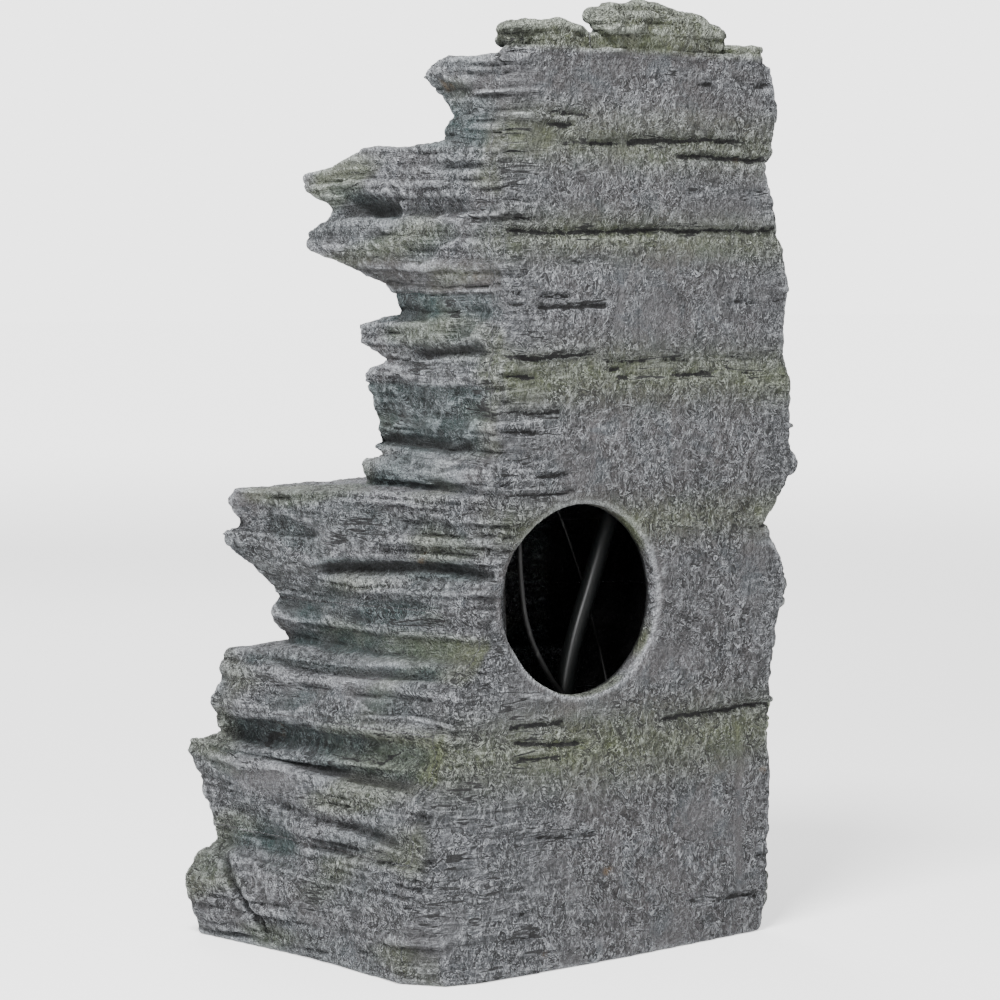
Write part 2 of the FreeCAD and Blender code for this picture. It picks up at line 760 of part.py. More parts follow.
DIAL_CLEARANCE = 0.3
dial = new_body("DialBody")
dial_outline = new_sketch(dial, "DialOutline", "YZ_Plane")
circle(dial_outline, "", "", "dial_diameter/2")
pad(dial, "DialDisc", dial_outline, "dial_thickness")
grip_outline = new_sketch(dial, "GripOutline", "YZ_Plane")
rectangle(grip_outline, "- dial_grip_width/2", "dial_grip_width/2", "- dial_diameter/2", "dial_diameter/3")
pad(dial, "Grip", grip_outline, "dial_thickness + dial_grip_height")
dial_pin_outline = new_sketch(dial, "DialPinOutline", "YZ_Plane")
circle(dial_pin_outline, "", "", "dial_pin/2")
pad(dial, "DialPin", dial_pin_outline, "cage_sheet + cage_sheet", backwards=True)
dial.Placement = Placement(pump_point(size("cage_start + cage_length") + DIAL_CLEARANCE), UPRIGHT)
sub_part(dial, "flow_dial")


def suction_foot(number, forward, sideways):
    """A soft cup with a stem that presses into the underside of the housing."""
    place = Vector(pump_centre.x + forward, pump_centre.y + sideways, pan_floor)
    foot = new_body(f"FootBody{number}", Placement(place, UPRIGHT))
    profile = new_sketch(foot, f"FootProfile{number}", "XZ_Plane")
    outline(profile, [
        ("", "foot_lip"),
        ("foot_diameter/2 - foot_lip", ""),
        ("foot_diameter/2", ""),
        ("foot_diameter/2", "foot_lip/2"),
        ("foot_stem/2", "foot_lip + foot_lip"),
        ("foot_stem/2", "foot_height"),
        ("", "foot_height"),
    ])
    revolve(foot, f"FootCup{number}", profile)
    sub_part(foot, f"suction_foot_{number}")


FEET_ALONG_HOUSING = (-14, -52)
foot_places = [(forward, side) for forward in FEET_ALONG_HOUSING for side in (-1, 1)]
for number, (forward, side) in enumerate(foot_places, start=1):
    suction_foot(number, forward, side * size("foot_spread"))

housing_top = pump_centre.z + size("housing_height/2")
gland_foot = Vector(pump_centre.x - size("gland_set"), pump_centre.y, housing_top)
gland = new_body("GlandBody", Placement(gland_foot, UPRIGHT))
gland_profile = new_sketch(gland, "GlandProfile", "XZ_Plane")
outline(gland_profile, [
    ("cord_diameter/2", ""),
    ("gland_root/2", ""),
    ("gland_root/2", "gland_length/4"),
    ("gland_tip/2", "gland_length"),
    ("cord_diameter/2", "gland_length"),
])
revolve(gland, "GlandCone", gland_profile)
sub_part(gland, "cord_gland")

terminal_corner = Vector(
    pump_centre.x - size("terminal_set") - size("terminal_length/2"),
    pump_centre.y - size("terminal_width/2"),
    housing_top,
)
terminal_block = box("TerminalBlock", "terminal_length", "terminal_width", "terminal_height", terminal_corner)
terminal_cap = doc.addObject("Part::Chamfer", "TerminalCap")
terminal_cap.Base = terminal_block
doc.recompute()
TERMINAL_CHAMFER = 2.0
terminal_cap.Edges = [
    (index + 1, TERMINAL_CHAMFER, TERMINAL_CHAMFER)
    for index, edge in enumerate(terminal_block.Shape.Edges)
    if edge.CenterOfMass.z > housing_top + size("terminal_height") - 0.01
]
sub_part(terminal_cap, "terminal_cap")

# ---- Tubes: straight runs joined by tangent arcs ------------------------------------------------------

ARC_SHARE = 0.45


def rounded_path(points):
    """A wire through points, its corners rounded as widely as the runs beside them allow."""
    edges = []
    radii = []
    start = points[0]
    for before, corner, after in zip(points, points[1:], points[2:]):
        inward = (corner - before).normalize()
        outward = (after - corner).normalize()
        turn = inward.getAngle(outward)
        setback = ARC_SHARE * min((corner - before).Length, (after - corner).Length)
        radii.append(setback / math.tan(turn / 2))
        arc_start = corner - inward * setback
        arc_end = corner + outward * setback
        bisector = (outward - inward).normalize()
        chord_middle = (arc_start + arc_end) * 0.5
        sagitta = radii[-1] * (1 - math.cos(turn / 2))
        arc_middle = chord_middle - bisector * sagitta
        edges.append(Part.LineSegment(start, arc_start).toShape())
        edges.append(Part.Arc(arc_start, arc_middle, arc_end).toShape())
        start = arc_end
    edges.append(Part.LineSegment(start, points[-1]).toShape())
    return Part.Wire(edges), radii


def tube(label, points, outer, bore=None):
    """A round tube or a solid cord along a rounded path; its volume is compared with its length."""
    path, radii = rounded_path(points)
    direction = (points[1] - points[0]).normalize()
    shape = path.makePipe(Part.Face(Part.Wire(Part.makeCircle(outer / 2, points[0], direction))))
    section = math.pi * outer**2 / 4
    if bore:
        core = path.makePipe(Part.Face(Part.Wire(Part.makeCircle(bore / 2, points[0], direction))))
        shape = shape.cut(core)
        section -= math.pi * bore**2 / 4
    solid = shape.Solids[0]
    print(
        f"{label}: length {path.Length:.0f} mm, smallest radius {min(radii):.0f} mm, "
        f"volume is {solid.Volume / (section * path.Length):.4f} of its section times length"
    )
    return shaped(label, solid)


def route(points):
    return [rock_point(*point) for point in points]


# The hose rises from the pump's spigot past the service hole to the fitting under the trough.
SPIGOT_SHOULDER = 6
HOSE_GRIP = 8
hose_start_height = housing_top + SPIGOT_SHOULDER
hose_end_height = size("ceiling_height - nut_height - fitting_barb_length") + HOSE_GRIP
spigot_along = size("corner_x") - spigot_foot.x
pump_reach = size("rear_y") - size("pump_y")
TOP_RUN = 50
HOSE_ROUTE = [
    (spigot_along, pump_reach, hose_start_height),
    (spigot_along, pump_reach, 170),
    (258, 110, 290),
    (300, 104, 410),
    (338, 106, 520),
    (348, 112, 620),
    (334, 116, 694),
    (294, 114, 756),
    (size("fitting_along"), size("fitting_reach"), hose_end_height - TOP_RUN),
    (size("fitting_along"), size("fitting_reach"), hose_end_height),
]
hose_points = route(HOSE_ROUTE)
tube("delivery_hose", hose_points, size("hose_outer"), size("hose_bore"))


def hose_clamp(label, centre):
    """A worm-drive band round an upright end of the hose."""
    low = centre - Vector(0, 0, size("clamp_width/2"))
    outer = cylinder(label + "Outer", "hose_outer/2 + clamp_sheet", "clamp_width", low)
    inner = cylinder(label + "Inner", "hose_outer/2", "clamp_width", low)
    band = cut(label + "Band", outer, inner)
    case_foot = size("hose_outer/2 + clamp_sheet/2")
    case_corner = low + Vector(-size("clamp_box/2"), case_foot, 0)
    case = box(label + "Case", "clamp_box", "clamp_screw", "clamp_width", case_corner)
    screw_start = low + Vector(-size("clamp_box"), case_foot + size("clamp_screw/2"), size("clamp_width/2"))
    screw_radius = "clamp_screw/2 - clamp_sheet/2"
    screw = cylinder(label + "Screw", screw_radius, "clamp_box + clamp_box/4", screw_start, ALONG_X)
    sub_part(fuse(label + "All", [band, case, screw]), label)


CLAMP_SETBACK = Vector(0, 0, 12)
hose_clamp("hose_clamp_pump", hose_points[0] + CLAMP_SETBACK)
hose_clamp("hose_clamp_top", hose_points[-1] - CLAMP_SETBACK)

# ---- The spill fitting through the trough's floor ---------------------------------------------------

fitting_foot = rock_point(size("fitting_along"), size("fitting_reach"), 0)


def over_fitting(height):
    return Vector(fitting_foot.x, fitting_foot.y, height)


ceiling = size("ceiling_height")
trough_floor = size("trough_floor")
barb_low = ceiling - size("nut_height + fitting_barb_length")
barb = cylinder("FittingBarb", "fitting_barb/2", "fitting_barb_length", over_fitting(barb_low))
thread_low = ceiling - size("nut_height")
through_floor = "trough_floor - ceiling_height + nut_height"
thread_length = through_floor + " + fitting_flange_sheet"
thread = cylinder("FittingThread", "fitting_outer/2", thread_length, over_fitting(thread_low))
flange = cylinder("FittingFlange", "fitting_flange/2", "fitting_flange_sheet", over_fitting(trough_floor))
flange_top = size("trough_floor + fitting_flange_sheet")
neck = cylinder("FittingNeck", "fitting_outer/2", "fitting_neck", over_fitting(flange_top))
fitting_solid = fuse("FittingSolid", [barb, thread, flange, neck])
bore_length = through_floor + " + fitting_barb_length + fitting_flange"
fitting_bore = cylinder("FittingBore", "fitting_bore/2", bore_length, over_fitting(barb_low))
sub_part(cut("Fitting", fitting_solid, fitting_bore), "spill_fitting")

nut_body = new_body("NutBody", Placement(over_fitting(thread_low), UPRIGHT))
nut_outline = new_sketch(nut_body, "NutOutline", "XY_Plane")
nut_radius = size("nut_width") / math.sqrt(3)
hexagon = [Rotation(Vector(0, 0, 1), 60 * side).multVec(Vector(nut_radius, 0, 0)) for side in range(6)]
for side in range(6):
    nut_outline.addGeometry(Part.LineSegment(hexagon[side], hexagon[(side + 1) % 6]), False)
for side in range(6):
    nut_outline.addConstraint(Sketcher.Constraint("Coincident", side, 2, (side + 1) % 6, 1))
for side in range(1, 6):
    nut_outline.addConstraint(Sketcher.Constraint("Equal", 0, side))
guide = nut_outline.addGeometry(Part.Circle(Vector(0, 0, 0), Vector(0, 0, 1), nut_radius), True)
nut_outline.addConstraint(Sketcher.Constraint("Coincident", guide, 3, -1, 1))
for side in range(6):
    nut_outline.addConstraint(Sketcher.Constraint("PointOnObject", side, 1, guide))
nut_outline.addConstraint(Sketcher.Constraint("PointOnObject", 0, 1, -1))
nut_size = nut_outline.addConstraint(Sketcher.Constraint("Radius", guide, nut_radius))
nut_outline.setExpression(f"Constraints[{nut_size}]", "Dimensions.nut_width / sqrt(3)")
pad(nut_body, "NutBlock", nut_outline, "nut_height - washer_sheet")
nut_bore_outline = new_sketch(nut_body, "NutBoreOutline", "XY_Plane")
circle(nut_bore_outline, "", "", "fitting_outer/2")
pocket(nut_body, "NutBore", nut_bore_outline, "nut_height + nut_height", backwards=True)
sub_part(nut_body, "fitting_nut")

washer_place = over_fitting(size("ceiling_height - washer_sheet"))
washer_disc = cylinder("WasherDisc", "fitting_flange/2", "washer_sheet", washer_place)
washer_bore = cylinder("WasherBore", "fitting_outer/2", "washer_sheet", washer_place)
sub_part(cut("Washer", washer_disc, washer_bore), "fitting_washer")

# ---- The lamp under the top ledge -------------------------------------------------------------------

lamp_rear = rock_point(size("lamp_along"), size("lamp_rear_reach"), size("lamp_height"))
LAMP = Placement(lamp_rear, TOWARDS_FRONT)


def turned(label, body_name, corners):
    """A round piece about the lamp's axis from half its section: distance out, distance forward."""
    body = new_body(body_name, LAMP)
    profile = new_sketch(body, body_name + "Profile", "XZ_Plane")
    outline(profile, corners)
    revolve(body, body_name + "Turn", profile)
    return sub_part(body, label)


turned("lamp_housing", "LampCup", [
    ("lead_diameter/2", ""),
    ("lamp_diameter/2", ""),
    ("lamp_diameter/2", "lamp_length"),
    ("lamp_diameter/2 - lamp_sheet", "lamp_length"),
    ("lamp_diameter/2 - lamp_sheet", "lamp_sheet + lamp_sheet"),
    ("lead_diameter/2", "lamp_sheet + lamp_sheet"),
])
turned("lamp_bezel", "LampBezel", [
    ("lamp_diameter/2 - lamp_sheet", "lamp_length"),
    ("bezel_diameter/2", "lamp_length"),
    ("bezel_diameter/2", "lamp_length + bezel_depth/2"),
    ("lamp_diameter/2 + lamp_sheet/2", "lamp_length + bezel_depth"),
    ("lamp_diameter/2 - lamp_sheet", "lamp_length + bezel_depth"),
])
turned("lamp_lens", "LampLens", [
    ("", "lamp_length - lamp_sheet"),
    ("lamp_diameter/2 - lamp_sheet", "lamp_length - lamp_sheet"),
    ("lamp_diameter/2 - lamp_sheet", "lamp_length + lamp_sheet"),
    ("lamp_diameter/3", "lamp_length + lens_crown/2"),
    ("", "lamp_length + lens_crown"),
])

# The lamp's lead runs down the front wall of the hollow to the cap on the pump.
terminal_along = size("corner_x") - (pump_centre.x - size("terminal_set"))
terminal_top = housing_top + size("terminal_height")
LAMP_LEAD_ROUTE = [
    (size("lamp_along"), size("lamp_rear_reach"), size("lamp_height")),
    (size("lamp_along"), 108, size("lamp_height") - 2),
    (size("lamp_along") + 8, 90, 846),
    (222, 92, 806),
    (232, 120, 766),
    (240, 158, 722),
    (246, 176, 668),
    (252, 182, 612),
    (262, 184, 556),
    (276, 176, 506),
    (294, 164, 456),
    (316, 160, 400),
    (332, 156, 344),
    (342, 146, 288),
    (345, 132, 232),
    (338, 122, 176),
    (terminal_along, pump_reach, 130),
    (terminal_along, pump_reach, terminal_top),
]
tube("lamp_lead", route(LAMP_LEAD_ROUTE), size("lead_diameter"))


CLIP_HALF_LENGTH = 8
CLIP_ROOM = 1.6
CLIP_WALL_REACH = STOREYS[3][5]


def lead_clip(label, along, height, lead_reach):
    """A saddle clip that holds the lamp's lead against the front wall of the middle storey."""
    half = size("clip_width/2")
    near = along - CLIP_HALF_LENGTH
    far = along + CLIP_HALF_LENGTH
    clip = slab(height - half, height + half, near, far, lead_reach - half, CLIP_WALL_REACH)
    groove_radius = size("lead_diameter/2") + CLIP_ROOM
    groove_low = rock_point(along, lead_reach, height - size("clip_width"))
    groove = Part.makeCylinder(groove_radius, 2 * size("clip_width"), groove_low)
    shaped(label, clip.cut(groove))


lead_clip("lead_clip_upper", 252.4, 609, 182)
lead_clip("lead_clip_lower", 261.6, 557, 183)

# ---- The cord: over a peg, down to its put-away coil and out to the plug ---------------------------

gland_top = gland_foot + Vector(0, 0, size("gland_length"))
gland_along = size("corner_x") - gland_foot.x
CORD_ROUTE = [
    (gland_along, pump_reach, gland_top.z),
    (gland_along, pump_reach, 136),
    (300, 104, 188),
    (262, 84, 240),
    (214, 74, 284),
    (178, 72, 340),
    (168, 71, 400),
    (166, 70, 450),
    (163, 82, 491),
    (160, 118, 492),
    (157, 131, 450),
    (152, 133, 380),
    (150, 138, 300),
    (144, 136, 220),
    (138, 140, 140),
    (136, 138, 76),
    (130, 130, 40),
    (124, 114, 22.6),
]
coil_low = pan_floor + size("tie_sheet")
coil_centre = rock_point(size("coil_along"), size("coil_reach"), coil_low)
tube("power_cord", route(CORD_ROUTE), size("cord_diameter"))

coil_outer = cylinder("CoilOuter", "coil_mean_diameter/2 + coil_wrap/2", "coil_wrap", coil_centre)
coil_inner = cylinder("CoilInner", "coil_mean_diameter/2 - coil_wrap/2", "coil_wrap", coil_centre)
sub_part(cut("Coil", coil_outer, coil_inner), "power_coil")

tie_centre = coil_centre + Vector(0, size("coil_mean_diameter/2"), 0)
tie_hollow_corner = tie_centre + Vector(-size("tie_width/2"), -size("coil_wrap/2"), 0)
tie_corner = tie_hollow_corner - Vector(0, size("tie_sheet"), size("tie_sheet"))
tie_outside = "coil_wrap + tie_sheet + tie_sheet"
tie_block = box("TieBlock", "tie_width", tie_outside, tie_outside, tie_corner)
tie_hollow = box("TieHollow", "tie_width", "coil_wrap", "coil_wrap", tie_hollow_corner)
sub_part(cut("Tie", tie_block, tie_hollow), "coil_tie")

plug_axis_height = pan_floor + size("plug_thickness/2")
TAIL_ROUTE = [
    (92, 151.6, 15),
    (108, 160, 13),
    (125, 176, 14),
    (136, 196, plug_axis_height),
    (140, 218, plug_axis_height),
]
tail_points = route(TAIL_ROUTE)
tube("power_tail", tail_points, size("cord_diameter"))

plug_heading = tail_points[-1] - tail_points[-2]
plug_turn = math.degrees(math.atan2(plug_heading.x, -plug_heading.y))
PLUG = Placement(tail_points[-1], Rotation(Vector(0, 0, 1), plug_turn))


def on_plug(x, y, z):
    return PLUG.multVec(Vector(x, y, z))


relief = doc.addObject("Part::Cone", "PlugRelief")
relief_root = "plug_thickness/2 - tie_sheet"
bind(relief, Radius1="cord_diameter/2 + tie_sheet/2", Radius2=relief_root, Height="relief_length")
relief.Placement = Placement(tail_points[-1], PLUG.Rotation * TOWARDS_FRONT)
sub_part(relief, "plug_relief")

plug = new_body("PlugBody", Placement(on_plug(0, -size("relief_length"), 0), PLUG.Rotation))
plug_outline = new_sketch(plug, "PlugOutline", "XZ_Plane")
rectangle(plug_outline, "- plug_width/2", "plug_width/2", "- plug_thickness/2", "plug_thickness/2")
plug_block = pad(plug, "PlugBlock", plug_outline, "plug_length")
round_edges(plug, "PlugCorners", plug_block, runs_along(Vector(0, 1, 0)), "plug_round")
sub_part(plug, "plug_body")

pins = []
for side in (-1, 1):
    pin_place = on_plug(side * size("pin_spacing/2"), -size("relief_length + plug_length"), 0)
    pin_heading = PLUG.Rotation * TOWARDS_FRONT
    pin = cylinder(f"Pin{side + 2}", "pin_diameter/2", "pin_length", pin_place, pin_heading)
    pins.append(pin)
sub_part(fuse("Pins", pins), "plug_pins")

peg_centre = rock_point(size("peg_wall_along"), size("peg_reach"), size("peg_height"))
peg = cylinder("Peg", "peg_diameter/2", "peg_length", peg_centre, AGAINST_X)
peg_plate = cylinder("PegPlate", "peg_flange/2", "peg_flange_sheet", peg_centre, AGAINST_X)
sub_part(fuse("CordPeg", [peg, peg_plate]), "cord_peg")

doc.recompute()
broken = [item.Name for item in doc.Objects if {"Invalid", "Error"} & set(item.State)]
if broken:
    raise RuntimeError(f"failed objects: {broken}")
for item in sub_parts:
    if item.Shape.isNull() or not item.Shape.isValid():
        raise RuntimeError(f"{item.Label} has no valid shape")

os.makedirs("parts", exist_ok=True)
for item in sub_parts:
    item.Shape.exportStep(os.path.join("parts", item.Label + ".step"))
whole = Part.makeCompound([item.Shape for item in sub_parts]).BoundBox
print(f"{len(sub_parts)} sub-parts, X {whole.XMin:.1f}..{whole.XMax:.1f}, "
      f"Y {whole.YMin:.1f}..{whole.YMax:.1f}, Z {whole.ZMin:.1f}..{whole.ZMax:.1f}")
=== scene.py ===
"""The looks of a pump-fed resin rock cascade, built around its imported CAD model.

The rock castings are joined, given their strata, cracks and crumpled relief, and cut apart again at the
castings' joints. The pump, hose, lamp and cord keep their CAD shapes or get finer pieces in their place.
As in the part's own source, a place in the rock is given in millimetres: `along` runs from the rear wall's
+X corner towards -X, `reach` runs forward from the rear wall's plane, and `height` is above the floor.
"""
import bmesh
import bpy
import itertools
import math
import numpy as np
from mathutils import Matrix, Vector
from mathutils.kdtree import KDTree


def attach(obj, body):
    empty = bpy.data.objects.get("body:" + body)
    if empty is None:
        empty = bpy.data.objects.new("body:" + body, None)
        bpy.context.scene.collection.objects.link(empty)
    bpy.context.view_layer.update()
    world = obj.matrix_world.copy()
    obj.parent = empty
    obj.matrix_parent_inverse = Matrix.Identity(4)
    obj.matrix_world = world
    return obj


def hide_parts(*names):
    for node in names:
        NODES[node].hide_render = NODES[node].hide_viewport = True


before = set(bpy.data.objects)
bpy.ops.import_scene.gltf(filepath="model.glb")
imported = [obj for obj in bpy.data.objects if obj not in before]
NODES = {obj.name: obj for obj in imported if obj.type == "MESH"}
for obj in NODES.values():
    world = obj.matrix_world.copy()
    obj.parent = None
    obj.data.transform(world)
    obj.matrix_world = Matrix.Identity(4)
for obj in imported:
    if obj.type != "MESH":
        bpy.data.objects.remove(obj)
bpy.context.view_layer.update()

CORNER_X = 221.0
REAR_Y = 202.0


def rock_point(along, reach, height):
    """A point of the rock in metres, from its distance along, its reach and its height in millimetres."""
    return Vector(((CORNER_X - along) / 1000, (REAR_Y - reach) / 1000, height / 1000))


def added(name, data):
    """A new object in the scene."""
    item = bpy.data.objects.new(name, data)
    bpy.context.scene.collection.objects.link(item)
    return item


# ---- Camera, lights and air ----

CAMERA_PLACE = (2.0449, 2.7292, 0.7174)
CAMERA_YAW = math.radians(-127.106)
CAMERA_PITCH = math.radians(-4.111)
CAMERA_LENS = 112.38
CAMERA_SENSOR = 36

camera_data = bpy.data.cameras.new("Camera")
camera_data.lens = CAMERA_LENS
camera_data.sensor_width = CAMERA_SENSOR
camera = added("Camera", camera_data)
camera.location = CAMERA_PLACE
facing = Vector((
    math.cos(CAMERA_PITCH) * math.cos(CAMERA_YAW),
    math.cos(CAMERA_PITCH) * math.sin(CAMERA_YAW),
    math.sin(CAMERA_PITCH),
))
camera.rotation_mode = "QUATERNION"
camera.rotation_quaternion = facing.to_track_quat("-Z", "Y")
bpy.context.scene.camera = camera


def area_light(name, place, aim, width, power):
    data = bpy.data.lights.new(name, "AREA")
    data.shape = "SQUARE"
    data.size = width
    data.energy = power
    item = added(name, data)
    item.location = place
    item.rotation_mode = "QUATERNION"
    item.rotation_quaternion = (Vector(aim) - Vector(place)).to_track_quat("-Z", "Y")


area_light("TopLight", (1.5, 1.0, 3.2), (0, 0, 0.4), 1.0, 224)
area_light("SideLight", (3.0, 2.2, 1.7), (0, 0, 0.5), 1.0, 92)
area_light("FrontLight", (-1.2, -3.0, 2.6), (0, 0, 0.5), 1.6, 75)

world = bpy.data.worlds.new("World")
bpy.context.scene.world = world
world.use_nodes = True
# The air is white to look at and gives a softer light than it shows.
AIR_LIGHT = 0.60
AIR_SEEN = 3.3
air = world.node_tree
soft_air = air.nodes["Background"]
soft_air.inputs["Color"].default_value = (1, 1, 1, 1)
soft_air.inputs["Strength"].default_value = AIR_LIGHT
seen_air = air.nodes.new("ShaderNodeBackground")
seen_air.inputs["Color"].default_value = (1, 1, 1, 1)
seen_air.inputs["Strength"].default_value = AIR_SEEN
air_choice = air.nodes.new("ShaderNodeMixShader")
air.links.new(air.nodes.new("ShaderNodeLightPath").outputs["Is Camera Ray"], air_choice.inputs[0])
air.links.new(soft_air.outputs[0], air_choice.inputs[1])
air.links.new(seen_air.outputs[0], air_choice.inputs[2])
air.links.new(air_choice.outputs[0], air.nodes["World Output"].inputs["Surface"])


# ---- Node helpers ----


# The colour sockets of a mix node go by number, because several of its sockets share each name.
MIX_SHARE = 0
MIX_FIRST = 6
MIX_SECOND = 7
MIX_RESULT = 2


class Shader:
    """A material's node tree with short ways to add and join nodes."""

    def __init__(self, name):
        self.material = bpy.data.materials.new(name)
        self.material.use_nodes = True
        self.tree = self.material.node_tree
        self.principled = self.tree.nodes["Principled BSDF"]
        self.place = self.add("ShaderNodeTexCoord").outputs["Object"]

    def add(self, kind, **settings):
        node = self.tree.nodes.new(kind)
        for key, value in settings.items():
            setattr(node, key, value)
        return node

    def put(self, socket, value):
        """Join a socket to an output, or give it a plain value."""
        if isinstance(value, bpy.types.NodeSocket):
            self.tree.links.new(value, socket)
        elif isinstance(value, tuple) and socket.type == "RGBA":
            socket.default_value = (*value, 1.0)[:4]
        else:
            socket.default_value = value

    def math(self, operation, first, second=0.0, clamp=False):
        node = self.add("ShaderNodeMath", operation=operation, use_clamp=clamp)
        self.put(node.inputs[0], first)
        self.put(node.inputs[1], second)
        return node.outputs[0]

    def times(self, first, second, clamp=False):
        return self.math("MULTIPLY", first, second, clamp)

    def plus(self, first, second):
        return self.math("ADD", first, second)

    def minus(self, first, second):
        return self.math("SUBTRACT", first, second)

    def larger(self, first, second, clamp=False):
        return self.math("MAXIMUM", first, second, clamp)

    def size_of(self, value):
        return self.math("ABSOLUTE", value)

    def less(self, value, share):
        """One, less a share of the value."""
        return self.minus(1.0, self.times(value, share))

    def attribute(self, name):
        return self.add("ShaderNodeAttribute", attribute_name=name).outputs["Fac"]

    def stretched(self, x, y, z, twist=0.0):
        node = self.add("ShaderNodeMapping")
        self.put(node.inputs["Vector"], self.place)
        node.inputs["Scale"].default_value = (x, y, z)
        node.inputs["Rotation"].default_value = (0, 0, twist)
        return node.outputs[0]

    def texture(self, place, settings, **inputs):
        """The outputs of a noise texture at a place, or at the object's own coordinates."""
        node = self.add("ShaderNodeTexNoise", **settings)
        self.put(node.inputs["Vector"], place or self.place)
        for name, value in inputs.items():
            self.put(node.inputs[name], value)
        return node.outputs

    def noise(self, scale, detail=3.0, roughness=0.55, place=None, distortion=0.0):
        shape = dict(Scale=scale, Detail=detail, Roughness=roughness, Distortion=distortion)
        return self.texture(place, {}, **shape)["Fac"]

    def ridges(self, scale, detail, roughness, place=None):
        """A fractal of sharp crests between rounded hollows."""
        kind = dict(noise_type="RIDGED_MULTIFRACTAL", normalize=False)
        shape = dict(Scale=scale, Detail=detail, Roughness=roughness)
        return self.texture(place, kind, **shape, Lacunarity=2.0, Offset=1.0, Gain=2.0)["Fac"]

    def warped(self, scale, amount, place=None):
        """The place, pushed about by a noise."""
        push = self.add("ShaderNodeVectorMath", operation="MULTIPLY_ADD")
        self.put(push.inputs[0], self.texture(place, {}, Scale=scale)["Color"])
        push.inputs[1].default_value = (amount,) * 3
        self.put(push.inputs[2], place or self.place)
        return push.outputs[0]

    def step(self, value, low, high, out_low=0.0, out_high=1.0):
        """Smoothly from out_low to out_high as the value goes from low to high."""
        node = self.add("ShaderNodeMapRange", interpolation_type="SMOOTHSTEP")
        names = ("Value", "From Min", "From Max", "To Min", "To Max")
        for name, number in zip(names, (value, low, high, out_low, out_high)):
            self.put(node.inputs[name], number)
        return node.outputs["Result"]

    def mix(self, share, first, second):
        node = self.add("ShaderNodeMix", data_type="RGBA")
        self.put(node.inputs[MIX_SHARE], share)
        self.put(node.inputs[MIX_FIRST], first)
        self.put(node.inputs[MIX_SECOND], second)
        return node.outputs[MIX_RESULT]

    def bump(self, height, distance):
        node = self.add("ShaderNodeBump")
        self.put(node.inputs["Height"], height)
        self.put(node.inputs["Distance"], distance)
        node.inputs["Strength"].default_value = 1.0
        return node.outputs["Normal"]

    def finish(self, **sockets):
        for name, value in sockets.items():
            self.put(self.principled.inputs[name.replace("_", " ")], value)
        return self.material


# ---- The rock's material ----

MID_GREY = (0.130, 0.127, 0.134)
WARM_GREY = (0.124, 0.115, 0.118)
COOL_GREY = (0.108, 0.126, 0.143)
DRY_WHITE = (0.62, 0.64, 0.68)
# the near black of painted shade in hollows, crevices and cracks
PIT_SHADE = (0.010, 0.010, 0.011)
MOSS = (0.122, 0.148, 0.054)
PALE_MOSS = (0.48, 0.55, 0.32)
# the rock's own green-blue tint, darkened as painted shade for recesses
SHADED_TEAL = (0.024, 0.056, 0.055)
PALE_TEAL = (0.17, 0.25, 0.26)
# painted shade: the darker brownish colour of undersides
UNDERSIDE_SHADE = (0.098, 0.090, 0.083)
OCHRE = (0.24, 0.14, 0.05)
# painted shade of the hollow's inner walls
ROOM_SHADE = (0.0045, 0.0045, 0.005)
BLACK = (0.0, 0.0, 0.0)
RELIEF_DEPTH = 0.0125


